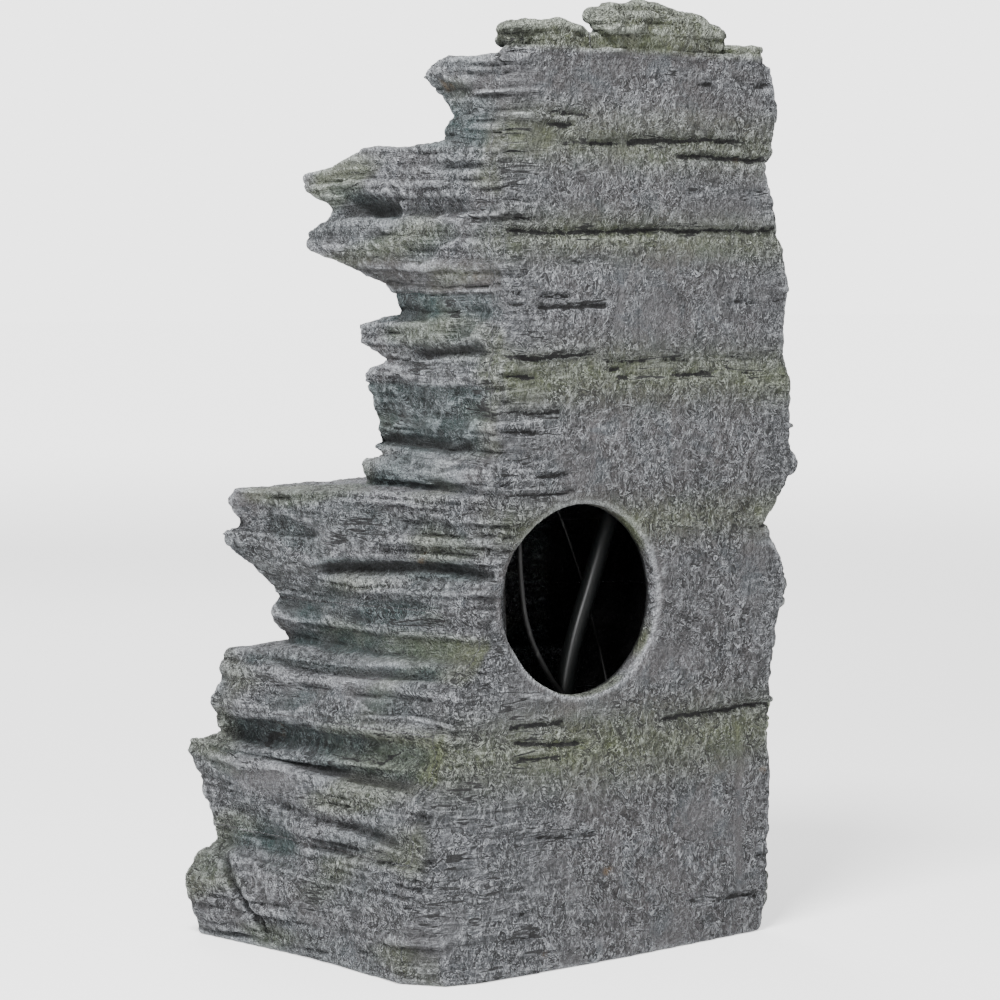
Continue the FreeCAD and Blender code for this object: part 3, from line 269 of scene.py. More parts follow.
def rock_material():
    s = Shader("PaintedRock")
    kept = ("relief", "edge", "ledge", "moss", "teal", "calm", "room", "cracked", "laminated", "level")
    relief, edge, ledge, moss, teal, calm, room, cracked, laminated, level = map(s.attribute, kept)

    wide = s.noise(9.0, 4.0, 0.6)
    patch = s.noise(26.0, 4.0, 0.62, distortion=0.6)
    grain = s.noise(420.0, 3.0, 0.65)

    # crumpled relief: sharp crests between dents, in two sizes, and the thin raised creases on it
    crumpled = s.ridges(140.0, 2.0, 0.6, s.warped(95.0, 0.007, s.stretched(1.0, 1.0, 0.8)))
    finer = s.ridges(260.0, 1.6, 0.6, s.warped(190.0, 0.004, s.stretched(1.0, 1.0, 0.9, 0.5)))
    worms = s.noise(180.0, 1.6, 0.5, s.stretched(1.0, 1.0, 0.6), 0.9)
    broken = s.step(s.noise(48.0, 3.0, 0.65), 0.34, 0.56)
    broken = s.times(broken, s.step(s.noise(13.0, 3.0, 0.6), 0.36, 0.58, 0.35, 1.0))
    height = s.plus(s.times(crumpled, 0.55), s.times(finer, 0.45))
    crest = s.step(height, 1.47, 1.74)
    dent = s.times(s.step(height, 1.14, 0.84), 0.62)
    # creases: a pale line along the middle value of a noise, with its shadow beside it
    crease = 0.0
    web = s.noise(66.0, 3.0, 0.6, s.warped(45.0, 0.012, s.stretched(1.0, 1.0, 0.75)), 0.7)
    folds = s.noise(31.0, 4.0, 0.62, s.warped(24.0, 0.02, s.stretched(1.0, 1.0, 1.35)), 0.8)
    # each noise, the line's core and width, its shadow's width, where it shows and how strongly
    creases = (
        (worms, 0.004, 0.046, 0.055, broken, 1.0),
        (web, 0.003, 0.020, 0.030, s.step(s.noise(27.0, 2.0, 0.6), 0.34, 0.50), 0.95),
        (folds, 0.002, 0.013, 0.024, s.step(s.noise(19.0, 2.0, 0.6), 0.38, 0.52), 1.0),
    )
    for field, core, width, shadow, share, strength in creases:
        off = s.minus(field, 0.5)
        line = s.step(s.size_of(off), core, width, strength, 0.0)
        crease = s.larger(crease, s.times(line, share))
        beside = s.size_of(s.plus(off, width + 0.5 * shadow))
        shade = s.step(beside, 0.5 * shadow, shadow, 1.0, 0.0)
        dent = s.larger(dent, s.times(shade, share))
    crease = s.times(crease, s.minus(1.0, calm))
    apart = s.add("ShaderNodeSeparateXYZ")
    s.put(apart.inputs[0], s.place)
    # the relief is stronger low down
    strong = s.step(apart.outputs[2], 0.64, 0.40)
    dent = s.times(dent, s.less(calm, 0.8))
    crest = s.times(crest, s.less(calm, 0.6))

    def bedded(across, up):
        """The place with its height swapped for the bedding's level, scaled across and up."""
        node = s.add("ShaderNodeCombineXYZ")
        for socket, value, scale in zip(node.inputs, (*apart.outputs[:2], level), (across, across, up)):
            s.put(socket, s.times(value, scale))
        return node.outputs[0]

    # the bedding's tones, its thin leaves and the cracks along it
    sheets = bedded(11.0, 0.095)
    layers = s.noise(1.0, 4.0, 0.5, sheets, 0.25)
    tone = s.noise(0.32, 3.0, 0.6, sheets)
    leaves = s.noise(1.0, 3.0, 0.6, bedded(24.0, 0.26), 0.3)
    leaf_dark = s.times(s.step(leaves, 0.43, 0.34), laminated)
    leaf_pale = s.times(s.step(leaves, 0.54, 0.66), laminated)
    crack_off = s.size_of(s.minus(layers, 0.5))
    crack_width = s.times(s.step(s.noise(21.0, 3.0, 0.6), 0.44, 0.66), s.times(cracked, 0.05))
    crack = s.math("DIVIDE", s.minus(crack_width, crack_off), 0.014, clamp=True)
    lip = s.times(s.step(crack_off, 0.03, 0.08, 1.0, 0.0), s.step(crack_width, 0.005, 0.03))

    # the coats of colour, first to last
    colour = s.mix(s.step(wide, 0.36, 0.62), MID_GREY, WARM_GREY)
    cool = s.larger(s.step(patch, 0.46, 0.66, 0.0, 0.75), s.times(laminated, 0.6))
    colour = s.mix(cool, colour, COOL_GREY)
    # painted shade: downward-facing undersides and the smooth bands made darker and brownish
    colour = s.mix(s.times(s.attribute("under"), s.step(wide, 0.3, 0.6, 0.2, 0.75)), colour, UNDERSIDE_SHADE)
    colour = s.mix(s.times(moss, s.step(patch, 0.30, 0.60, 0.55, 1.0)), colour, MOSS)
    # green-blue in the side's recesses: the rock's own tint, its darkness painted shade
    colour = s.mix(s.times(teal, s.step(patch, 0.33, 0.58, 0.5, 1.0)), colour, SHADED_TEAL)
    colour = s.mix(s.step(tone, 0.40, 0.60, 0.22, 0.0), colour, BLACK)

    # painted shade in all that lies low: dents and the shadow beside creases, dark leaves, recessed
    # places, ledge recesses, crevices and cracks
    ragged = s.plus(s.attribute("crack_line"), s.step(s.noise(150.0, 3.0, 0.6), 0.3, 0.7, -0.35, 0.35))
    shaded = (
        (s.step(relief, -0.4, -2.4), 0.34),
        (dent, s.step(strong, 0.0, 1.0, 0.72, 0.84)),
        (leaf_dark, 0.8),
        (s.step(edge, -0.5, -2.6), 0.62),
        (s.step(ledge, -4.0, -16.0), 0.5),
        (s.attribute("groove"), 0.85),
        (s.step(ragged, 0.3, 0.55), 0.96),
        (crack, 0.95),
    )
    painted_shade = 0.0
    for amount, share in shaded:
        painted_shade = s.larger(painted_shade, s.times(amount, share), clamp=True)
    colour = s.mix(painted_shade, colour, PIT_SHADE)

    # dry brushing of all that stands out, and painted light on the side's upward faces
    dry_brushed = (
        (s.step(relief, 0.5, 1.7), s.step(grain, 0.40, 0.62, 0.1, 0.5)),
        (s.step(edge, 0.3, 1.7), s.step(grain, 0.38, 0.62, 0.35, 1.0)),
        (leaf_pale, 0.55),
        (s.attribute("top"), s.step(patch, 0.35, 0.6, 0.1, 0.4)),
        (crest, s.step(grain, 0.32, 0.58, 0.05, 0.75)),
        (crease, 1.0),
        (lip, 0.3),
    )
    brush = 0.0
    for amount, share in dry_brushed:
        brush = s.plus(brush, s.times(amount, share))
    brush = s.times(brush, s.minus(1.0, painted_shade), clamp=True)
    pale = s.mix(s.times(moss, 0.6), DRY_WHITE, PALE_MOSS)
    pale = s.mix(s.times(teal, 0.7), pale, PALE_TEAL)
    colour = s.mix(s.times(brush, 0.85), colour, pale)
    ochre = s.times(s.step(s.noise(15.0, 2.0, 0.5), 0.71, 0.77), s.step(patch, 0.45, 0.6))
    colour = s.mix(s.times(ochre, 0.6), colour, OCHRE)
    # painted shade: the hollow's inner walls, lit only through the hole, made near black
    colour = s.mix(room, colour, ROOM_SHADE)

    # the height that the surface is bumped by
    height = s.times(height, s.less(calm, 0.72))
    height = s.times(height, s.step(strong, 0.0, 1.0, 1.0, 1.3))
    height = s.plus(height, s.times(crease, 0.5))
    height = s.minus(height, s.times(dent, 0.35))
    height = s.plus(height, s.times(grain, 0.16))
    height = s.plus(height, s.times(s.step(leaves, 0.36, 0.62), s.times(laminated, 0.7)))
    height = s.minus(height, s.times(crack, 0.7))
    height = s.times(height, s.less(room, 0.85))
    rough = s.step(grain, 0.2, 0.8, 0.66, 0.9)
    rough = s.times(rough, s.less(room, 0.45))
    return s.finish(Base_Color=colour, Roughness=rough, Normal=s.bump(height, RELIEF_DEPTH))


# ---- Noise for the rock's relief ----

draw = np.random.default_rng(20)
GRADIENTS = draw.normal(size=(256, 3))
GRADIENTS /= np.linalg.norm(GRADIENTS, axis=1)[:, None]
SHUFFLES = [draw.permutation(256) for _ in range(8)]
NOISE_SWING = 1.7


def noise(place, wave, seed=0):
    """Smooth noise of about -1 to 1, for places in millimetres and a wave of three lengths or one."""
    shuffle = SHUFFLES[seed % len(SHUFFLES)]
    p = place / np.asarray(wave, float) + 17.3 * seed
    cell = np.floor(p).astype(np.int64)
    f = p - cell
    fade = f * f * f * (f * (f * 6 - 15) + 10)
    total = np.zeros(len(p))
    for corner in itertools.product((0, 1), repeat=3):
        spot = np.zeros(len(p), np.int64)
        value = np.zeros(len(p))
        share = np.ones(len(p))
        for axis, step in enumerate(corner):
            spot = shuffle[(spot + cell[:, axis] + step) & 255]
            share = share * (fade[:, axis] if step else 1 - fade[:, axis])
        for axis, step in enumerate(corner):
            value = value + GRADIENTS[spot][:, axis] * (f[:, axis] - step)
        total += value * share
    return NOISE_SWING * total


def ridged(place, wave, seed=0):
    """Sharp ridges of about 1 between rounded hollows of about -1."""
    return 1 - 2.6 * np.abs(noise(place, wave, seed))


def ease(value, low, high):
    t = np.clip((value - low) / (high - low), 0, 1)
    return t * t * (3 - 2 * t)


# ---- The rock skin ----

VOXEL = 0.0026
COARSE_VOXEL = 0.010
ROCK_NODES = [
    "rear_wall", "lower_cascade_shell", "upper_cascade_shell", "crown_slab", "crown_stone_low",
    "crown_boulder", "crown_stone_far",
]
# Two corners of the stone that closes the gap below the crown's boulder.
CROWN_FILLER = ((236, 70, 945), (190, 6, 967))
# The storeys of the hollow inside: low, high, near, tip, tip reach, middle reach, far.
STOREYS = [
    (-1, 130, 12, -8, 325, 345, 436),
    (130, 310, 80, 36, 285, 262, 440),
    (310, 446, 115, 64, 275, 262, 436),
    (446, 480, 115, 112, 184, 188, 436),
    (480, 690, 115, 112, 184, 188, 458),
    (690, 842, 115, 112, 178, 182, 430),
    (842, 890, 130, 140, 80, 130, 430),
]
WALL_THICKNESS = 22
# How often the coarse rock is averaged to find its ledges, and the result to blend it.
LEDGE_ROUNDS = 40
BLEND_ROUNDS = 14
HOLE_ALONG = 197.0
HOLE_HEIGHT = 380.0
HOLE_RADIUS = 100.0


def cad_copy(node):
    """A copy of a CAD node with its split points welded."""
    mesh = NODES[node].data.copy()
    work = bmesh.new()
    work.from_mesh(mesh)
    bmesh.ops.remove_doubles(work, verts=work.verts, dist=1e-6)
    work.to_mesh(mesh)
    work.free()
    return added("Copy_" + node, mesh)


def evaluated(item):
    return bpy.data.meshes.new_from_object(item.evaluated_get(bpy.context.evaluated_depsgraph_get()))


def box_item(low, high):
    corners = [(x, y, z) for x in (low[0], high[0]) for y in (low[1], high[1]) for z in (low[2], high[2])]
    mesh = bpy.data.meshes.new("Box")
    faces = [(0, 1, 3, 2), (4, 6, 7, 5), (0, 4, 5, 1), (2, 3, 7, 6), (0, 2, 6, 4), (1, 5, 7, 3)]
    mesh.from_pydata(corners, [], faces)
    return added("Box", mesh)


def joined_rock(voxels):
    """Even meshes over all the rock castings, one for each voxel size."""
    copies = [cad_copy(node) for node in ROCK_NODES]
    copies.append(box_item(*[rock_point(*corner) for corner in CROWN_FILLER]))
    first = copies[0]
    for other in copies[1:]:
        union = first.modifiers.new("Union", "BOOLEAN")
        union.operation = "UNION"
        union.solver = "MANIFOLD"
        union.object = other
    remesh = first.modifiers.new("Even", "REMESH")
    remesh.mode = "VOXEL"
    meshes = []
    for voxel in voxels:
        remesh.voxel_size = voxel
        meshes.append(evaluated(first))
    for item in copies:
        bpy.data.objects.remove(item)
    return meshes


def coordinates(mesh):
    flat = np.zeros(len(mesh.vertices) * 3, np.float32)
    mesh.vertices.foreach_get("co", flat)
    return flat.reshape(-1, 3).astype(float)


def normals(mesh):
    flat = np.zeros(len(mesh.vertices) * 3, np.float32)
    mesh.vertex_normals.foreach_get("vector", flat)
    return flat.reshape(-1, 3).astype(float)


def set_coordinates(mesh, places):
    mesh.vertices.foreach_set("co", places.astype(np.float32).ravel())
    mesh.update()


class Averager:
    """Averages values over each point's neighbours."""

    def __init__(self, mesh):
        pairs = np.zeros(len(mesh.edges) * 2, np.int64)
        mesh.edges.foreach_get("vertices", pairs)
        pairs = pairs.reshape(-1, 2)
        self.start = np.concatenate([pairs[:, 0], pairs[:, 1]])
        self.end = np.concatenate([pairs[:, 1], pairs[:, 0]])
        self.count = np.maximum(np.bincount(self.start, minlength=len(mesh.vertices)), 1)

    def __call__(self, values, rounds, share=0.5):
        values = np.array(values, float)
        columns = values.reshape(len(self.count), -1)
        for _ in range(rounds):
            for k in range(columns.shape[1]):
                mean = np.bincount(self.start, columns[self.end, k], len(self.count)) / self.count
                columns[:, k] += share * (mean - columns[:, k])
        return columns.reshape(values.shape)


def ledge_depth(coarse, places, average):
    """Millimetres by which each place stands out from the rock around it, at the size of a ledge."""
    smooth = Averager(coarse)
    start = coordinates(coarse)
    stands = np.einsum("ij,ij->i", start - smooth(start, LEDGE_ROUNDS), normals(coarse)) * 1000
    tree = KDTree(len(start))
    for index, point in enumerate(start):
        tree.insert(point, index)
    tree.balance()
    nearest = np.array([tree.find(point)[1] for point in places])
    return average(stands[nearest], BLEND_ROUNDS)


def outside_hollow(along, reach, height):
    """Millimetres from the hollow inside the rock, about zero or less on its walls."""
    nearest = np.full(len(along), 1e3)
    for low, high, near, tip, tip_reach, middle, far in STOREYS:
        plan = [(far, WALL_THICKNESS), (far, 0.82 * middle), (325, middle), (190, middle)]
        plan += [(tip, tip_reach), (near, WALL_THICKNESS)]
        away = np.maximum(low - height, height - high)
        for (a0, r0), (a1, r1) in zip(plan, plan[1:] + plan[:1]):
            length = math.hypot(a1 - a0, r1 - r0)
            side = ((along - a0) * (r1 - r0) - (reach - r0) * (a1 - a0)) / length
            away = np.maximum(away, side)
        nearest = np.minimum(nearest, away)
    return nearest


# Cracks of the rear wall: height, from along, to along, depth, width, drop over its length.
WALL_CRACKS = [
    (46, 330, 452, 4.0, 3.0, -6),
    (62, 90, 180, 2.5, 3.0, 4),
    (84, 430, 462, 3.0, 2.5, 0),
    (143, 60, 210, 3.5, 2.5, -8),
    (218, 95, 170, 4.0, 3.0, 2),
    (236, 100, 200, 4.5, 3.5, -6),
    (244, 300, 470, 5.5, 3.5, 8),
    (252, 90, 190, 4.0, 3.0, 4),
    (268, 180, 240, 2.5, 3.0, -8),
    (447, 420, 460, 3.0, 3.0, 0),
    (490, 93, 190, 4.0, 2.5, 6),
    (503, 93, 150, 3.5, 2.5, 3),
    (512, 93, 185, 4.0, 2.5, 2),
    (527, 93, 150, 3.0, 2.5, 4),
    (556, 93, 170, 4.5, 3.0, 5),
    (577, 93, 170, 5.0, 3.0, 3),
    (614, 93, 250, 4.5, 3.2, 6),
    (611, 240, 480, 4.0, 3.2, 4),
    (634, 93, 215, 6.0, 4.0, 4),
    (628, 210, 470, 3.0, 2.6, 2),
    (687, 93, 240, 4.0, 3.0, 0),
    (688, 380, 480, 3.0, 2.6, 3),
    (699, 100, 180, 3.5, 2.6, 0),
    (733, 150, 270, 2.5, 2.4, 2),
    (762, 93, 300, 6.0, 3.6, 2),
    (764, 280, 470, 5.0, 3.2, 2),
    (779, 93, 130, 6.5, 3.6, -4),
    (805, 330, 460, 2.5, 2.2, 3),
    (853, 150, 330, 4.5, 3.4, 4),
    (843, 320, 460, 5.5, 3.4, -2),
    (858, 250, 420, 5.0, 3.0, 3),
    (871, 110, 190, 4.5, 3.0, 0),
    (884, 150, 200, 3.5, 2.6, -2),
    (905, 195, 240, 3.0, 2.6, 0),
    (918, 350, 455, 4.0, 3.2, 3),
    (930, 300, 350, 2.5, 2.4, 2),
]
# Shallow valleys across the rear wall: height, half width, depth.
WALL_VALLEYS = [(246, 20, 3.0), (470, 14, 1.4), (622, 15, 3.0), (764, 9, 2.4), (852, 15, 3.2)]
# Mould seams that run up the rear wall: along, low, high.
WALL_SEAMS = [(243, 640, 732), (208, 488, 566), (410, 30, 230)]
# Moss on the rear wall: height, half height, share.
MOSS_BANDS = [
    (225, 34, 1.0),
    (462, 22, 0.75),
    (612, 26, 1.0),
    (756, 22, 0.8),
    (855, 24, 0.85),
    (875, 16, 0.5),
]


# Crevices of the +X side: depth, width, then the reach and height of each point from the rear forwards.
SIDE_GROOVES = [
    (9, 6, ((250, 12), (280, 50), (315, 90), (340, 98))),
    (5, 4, ((20, 90), (150, 93), (320, 97))),
    (6, 4, ((30, 136), (133, 145), (260, 155))),
    (12, 6, ((0, 196), (120, 194), (250, 206), (350, 214))),
    (8, 6, ((0, 305), (250, 300), (320, 318))),
    (14, 5, ((0, 408), (100, 412), (230, 402))),
    (6, 4, ((235, 440), (350, 447))),
    (5, 3, ((0, 425), (90, 430), (150, 428))),
    (4, 3, ((220, 482), (300, 480))),
    (4, 3, ((60, 500), (120, 505))),
    (3, 3, ((150, 505), (210, 505))),
    (11, 6, ((20, 540), (110, 536), (240, 541))),
    (6, 4, ((0, 574), (60, 574))),
    (4, 3, ((35, 594), (85, 594))),
    (10, 5, ((0, 638), (100, 636), (150, 632))),
    (8, 6, ((130, 673), (240, 673))),
    (6, 5, ((215, 752), (262, 756))),
    (8, 5, ((0, 781), (50, 784), (150, 783))),
    (9, 9, ((150, 783), (250, 785))),
    (6, 3, ((0, 826), (90, 829))),
    (6, 5, ((190, 826), (250, 824))),
    (6, 4, ((0, 850), (50, 850))),
    (6, 6, ((50, 905), (110, 905))),
]
# Bulges and hollows of the side: low, high, furthest reach, amount.
SIDE_SWELLS = [
    (499, 526, 215, 12),
    (200, 238, 345, -8),
    (240, 300, 340, 6),
    (320, 340, 300, -4),
    (360, 398, 200, 7),
]
# Scooped flakes of the side: reach, height, half reach, half height, tilt, depth.
SIDE_SCOOPS = [
    (95, 905, 46, 17, 0.3, 6),
    (205, 796, 58, 15, 0.28, 8),
    (110, 752, 46, 17, -0.32, 8),
    (215, 716, 50, 12, 0.2, 5),
    (60, 668, 34, 13, -0.4, 7),
    (150, 590, 44, 16, 0.34, 8),
    (80, 566, 40, 22, -0.5, 10),
    (205, 566, 34, 16, -0.3, 8),
    (120, 462, 60, 12, 0.12, 5),
    (260, 440, 48, 17, 0.35, 7),
    (150, 366, 62, 15, -0.16, 6),
    (270, 356, 46, 15, 0.3, 7),
    (110, 280, 54, 14, 0.2, 5),
    (235, 272, 56, 13, -0.18, 6),
    (130, 130, 60, 20, -0.3, 6),
    (240, 110, 50, 24, 0.4, 7),
]
# Dark green-blue bands in the side's recesses, the rock's own tint darkened as painted shade: low, high,
# furthest reach, share.
TEAL_BANDS = [
    (203, 238, 350, 0.85),
    (300, 322, 320, 0.9),
    (404, 420, 230, 0.8),
    (534, 604, 250, 1.0),
    (672, 700, 260, 0.9),
    (850, 900, 130, 0.8),
]
# Smooth undersides, painted darker and brownish as shade: low, high.
SMOOTH_BANDS = [(320, 342), (556, 570), (700, 735)]
# The rear corner's distance along at some heights.
CORNER_LINE = (
    (0, -22), (90, -19), (165, -4), (220, 13), (289, 44), (344, 80), (374, 89), (412, 93), (943, 95),
)
# The width over which the rear corner is worn round, and how often it is averaged.
CORNER_WIDTH = 26.0
CORNER_ROUNDS = 160


def between(value, low, high, soft):
    return ease(value, low - soft, low + soft) * ease(value, high + soft, high - soft)


def side_grooves(station, height):
    """The depth of the crevices at a place given by how far forward and how high it is."""
    total = np.zeros(len(height))
    for depth, width, line in SIDE_GROOVES:
        reaches = [point[0] for point in line]
        off = height - np.interp(station, reaches, [point[1] for point in line])
        slope = np.where(off < 0, off / (0.6 * width), off / (2.2 * width))
        ends = ease(station, reaches[-1] + 14, reaches[-1] - 10)
        if reaches[0] > 0:
            ends = ends * ease(station, reaches[0] - 14, reaches[0] + 10)
        total = np.maximum(total, depth * ends * np.exp(-(slope**2)))
    return total


def rock_relief(mesh, coarse):
    """Turns the even mesh into rock, and keeps on its points what the paint needs."""
    average = Averager(mesh)
    places = average(coordinates(mesh), 5)
    corner_along = np.interp(places[:, 2] * 1000, *zip(*CORNER_LINE))
    off_corner = np.hypot(CORNER_X - places[:, 0] * 1000 - corner_along, REAR_Y - places[:, 1] * 1000)
    corner = np.exp(-((off_corner / CORNER_WIDTH) ** 2)) * ease(places[:, 2], 0.01, 0.05)
    places += corner[:, None] * (average(places, CORNER_ROUNDS) - places)
    set_coordinates(mesh, places)
    facing_out = normals(mesh)
    ledge = ledge_depth(coarse, places, average)
    p = places * 1000
    along = CORNER_X - p[:, 0]
    reach = REAR_Y - p[:, 1]
    height = p[:, 2]
    away = outside_hollow(along, reach, height)
    in_pool = between(reach, 212, 360, 3) * ease(height, 448, 455)
    room = ease(away, 10, 4) * (1 - in_pool)
    outer = 1 - room
    wall = ease(facing_out[:, 1], 0.35, 0.8) * ease(reach + 9 * noise(p, 24, 1), 24, 5)
    steep = np.sqrt(np.clip(1 - facing_out[:, 2] ** 2, 0, 1))
    ground = ease(height, 0.5, 9)
    side = 1 - wall

    # the bedding: sheets of slate with uneven edges, gently bent
    bend = 8 * noise(p, 230, 1) + 3.0 * noise(p, 75, 2)
    level = height + bend * side + 1.6 * noise(p, 60, 3) * wall
    tops = np.cumsum(draw.uniform(5, 20, 110)) - 30
    sheet = np.searchsorted(tops, level)
    lower = np.where(sheet > 0, tops[np.maximum(sheet - 1, 0)], tops[0] - 10)
    upper = tops[np.minimum(sheet, len(tops) - 1)]
    inner = np.clip((level - lower) / (upper - lower), 0, 1)
    offset = draw.uniform(-1, 1, 200)[sheet]
    flat = p.copy()
    flat[:, 2] = sheet * 61.7
    fray = noise(flat, (80, 80, 40), 4) + 0.5 * noise(flat, (28, 28, 40), 5)
    crown = 1 - np.abs(2 * inner - 1) ** 4.0
    jut = 0.4 * offset + 0.8 * fray
    strong = ease(noise(p, (150, 150, 80), 6), -0.15, 0.5)
    strong = np.maximum(strong, ease(height, 940, 952))
    bedding = side * steep * ((1.7 + 3.2 * strong) * jut + (1.1 + 1.9 * strong) * (crown - 0.7))
    patchy = ease(noise(p, (110, 90, 45), 7), 0.0, 0.5)
    edge_side = np.maximum(ease(along, 190, 105), ease(along, 420, 462))
    leaf = np.maximum(0.3 * patchy, edge_side * (0.3 + 0.7 * patchy))
    bedding += wall * leaf * (1.4 * jut + 1.0 * (crown - 0.7))
    bedding += corner * (5.0 * jut + 2.4 * (crown - 0.7) + 4.0 * noise(p, (60, 60, 26), 0))

    # the slow swell of a hand-shaped master
    from_hole = np.hypot(along - HOLE_ALONG, height - HOLE_HEIGHT) - HOLE_RADIUS
    rim = ease(from_hole, 13, 3) * ease(reach, 60, 40)
    swell = 4.2 * noise(p, (105, 105, 80), 2) + 2.4 * noise(p, (46, 46, 30), 5)
    swell = swell * side + wall * (1.1 * noise(p, 85, 4) + 0.8 * noise(p, 30, 6))
    in_crown = ease(height, 944, 956)
    swell += in_crown * (4.5 * noise(p, (40, 40, 22), 3) + 2.2 * noise(p, (17, 17, 11), 4))
    bedding += wall * in_crown * (3.4 * jut + 2.0 * (crown - 0.7))

    # cracks and valleys of the rear wall
    cracks = np.zeros(len(p))
    near_crack = np.zeros(len(p))
    crack_line = np.zeros(len(p))
    wander = 3.2 * noise(p, (60, 60, 400), 1) + 1.4 * noise(p, (19, 19, 300), 2)
    wander += 1.1 * noise(p, (8, 8, 200), 4)
    gaps = ease(noise(p, (34, 60, 30), 3), -0.3, 0.15)
    for crack_height, start, end, depth, width, drop in WALL_CRACKS:
        run = np.clip((along - start) / (end - start), 0, 1)
        off = height - (crack_height + drop * run + wander)
        ends = ease(along, start - 8, start + 14) * ease(along, end + 8, end - 14)
        open_share = np.maximum(gaps, 0.85 * float(ease(depth, 4.2, 5.2)))
        cracks = np.maximum(cracks, depth * ends * np.exp(-((off / width) ** 2)) * open_share)
        near_crack = np.maximum(near_crack, ends * np.exp(-((off / 9.0) ** 2)))
        line = ends * open_share * ease(depth, 1.0, 4.5)
        crack_line = np.maximum(crack_line, line * ease(np.abs(off), 0.9 * width, 0.25 * width))
    valleys = np.zeros(len(p))
    slow_wander = 5 * noise(p, (120, 120, 400), 5)
    for valley_height, half, depth in WALL_VALLEYS:
        off = (height - valley_height - slow_wander) / half
        valleys += depth * np.exp(-(off**2))
    carved = wall * (0.75 * cracks + valleys)

    # a few open joints between the sheets on the ledges
    joint = np.exp(-((inner * (upper - lower) / 2.2) ** 2))
    joint_on = ease(noise(flat, (90, 90, 40), 7), 0.15, 0.5)
    side_joint = side * steep * joint * joint_on * 2.4

    # the crevices, bulges and hollows of the ledged side, carried on round the front
    near_side = ease(average(facing_out[:, 0], 20), 0.1, 0.45)
    station = near_side * reach + (1 - near_side) * (150 + 170 * noise(p, (260, 260, 4000), 3))
    gate = np.maximum(near_side, ease(noise(p, (150, 150, 60), 2), -0.2, 0.3))
    gate = gate * side * steep * (1 - rim)
    waved = height - 0.4 * wander
    fading = 0.2 + 0.8 * ease(reach + 22 * noise(p, (60, 60, 22), 5), 6, 66)
    groove = side_grooves(station, waved) * gate * fading
    swelling = np.zeros(len(p))
    for low, high, last, amount in SIDE_SWELLS:
        swelling += amount * between(waved, low, high, 7) * ease(station, last + 20, last - 20)
    scooped = np.zeros(len(p))
    ragged_reach = station + 9 * noise(p, (60, 60, 16), 1)
    ragged_height = waved + 4 * noise(p, (24, 24, 60), 7)
    for scoop_reach, scoop_height, half_reach, half_height, tilt, depth in SIDE_SCOOPS:
        ahead = ragged_reach - scoop_reach
        up = (ragged_height - scoop_height - tilt * ahead) / half_height
        bowl = np.clip(1 - (ahead / half_reach) ** 2 - up**2, 0, 1)
        scooped = np.maximum(scooped, depth * np.sqrt(bowl) * (0.75 - 0.25 * up))
    scooped *= gate * near_side
    dark_teal = np.zeros(len(p))
    for low, high, last, share in TEAL_BANDS:
        band = share * between(waved, low, high, 5) * ease(station, last + 20, last - 20)
        dark_teal = np.maximum(dark_teal, band)
    smoothed = np.zeros(len(p))
    for low, high in SMOOTH_BANDS:
        smoothed = np.maximum(smoothed, between(waved, low, high, 5))
    dark_teal = np.maximum(dark_teal, 0.1 * scooped)
    dark_teal *= gate
    smoothed *= gate
    swelling *= gate

    # crumpled relief
    lip = wall * ease(from_hole, 14, 3)
    seam = np.zeros(len(p))
    for seam_along, low, high in WALL_SEAMS:
        across = np.exp(-(((along - seam_along - 2 * noise(p, 90, 3)) / 6.0) ** 2))
        ends = ease(height, low - 12, low + 8) * ease(height, high + 12, high - 8)
        seam = np.maximum(seam, across * ends)
    seam *= wall
    chip = wall * between(along, 115, 155, 3) * between(height + 0.1 * (along - 135), 280, 288, 2)
    below_hole = wall * np.exp(-(((along - 178) / 34) ** 2)) * np.exp(-(((height - 270) / 15) ** 2))
    under = ease(facing_out[:, 2], -0.15, -0.7) * side
    calm_noise = ease(noise(p, (80, 80, 50), 0), 0.15, 0.6)
    calm_parts = [0.75 * lip, 0.9 * seam, 0.95 * below_hole, 0.55 * under, 0.6 * calm_noise]
    calm = np.clip(np.maximum.reduce([*calm_parts, chip, 0.7 * smoothed]), 0, 1)
    grid = p + 5 * np.stack([noise(p, 26, 1), noise(p, 26, 2), noise(p, 26, 3)], axis=1)
    crumple = 1.0 * ridged(grid, (19, 19, 27), 4) + 0.9 * ridged(grid, (10, 10, 14), 5)
    crumple = (crumple + 0.5 * noise(p, 7.5, 6)) * (1 - 0.75 * calm)

    low_wall = wall * ease(height, 640, 400)
    crumpling = 0.5 + 0.3 * low_wall + 0.4 * side
    push = swell + bedding + swelling + crumpling * crumple + 0.6 * seam + 2.0 * chip
    push -= carved + side_joint + groove + 0.9 * scooped
    push *= ground * outer * (1 - 0.8 * rim)
    room_push = room * ground * (0.5 * noise(p, 40, 2) + 0.25 * noise(p, 12, 3))
    places = places + facing_out * ((push + room_push) / 1000)[:, None]
    sway = 7.0 * noise(p, (400, 400, 42), 3) + 4.5 * noise(p, (400, 400, 15), 6)
    sway *= corner * (1 - rim) * outer * ease(height, 30, 60) * ease(height, 940, 920)
    places[:, 0] += 0.7 * sway / 1000
    places[:, 1] -= 0.7 * sway / 1000
    set_coordinates(mesh, places)

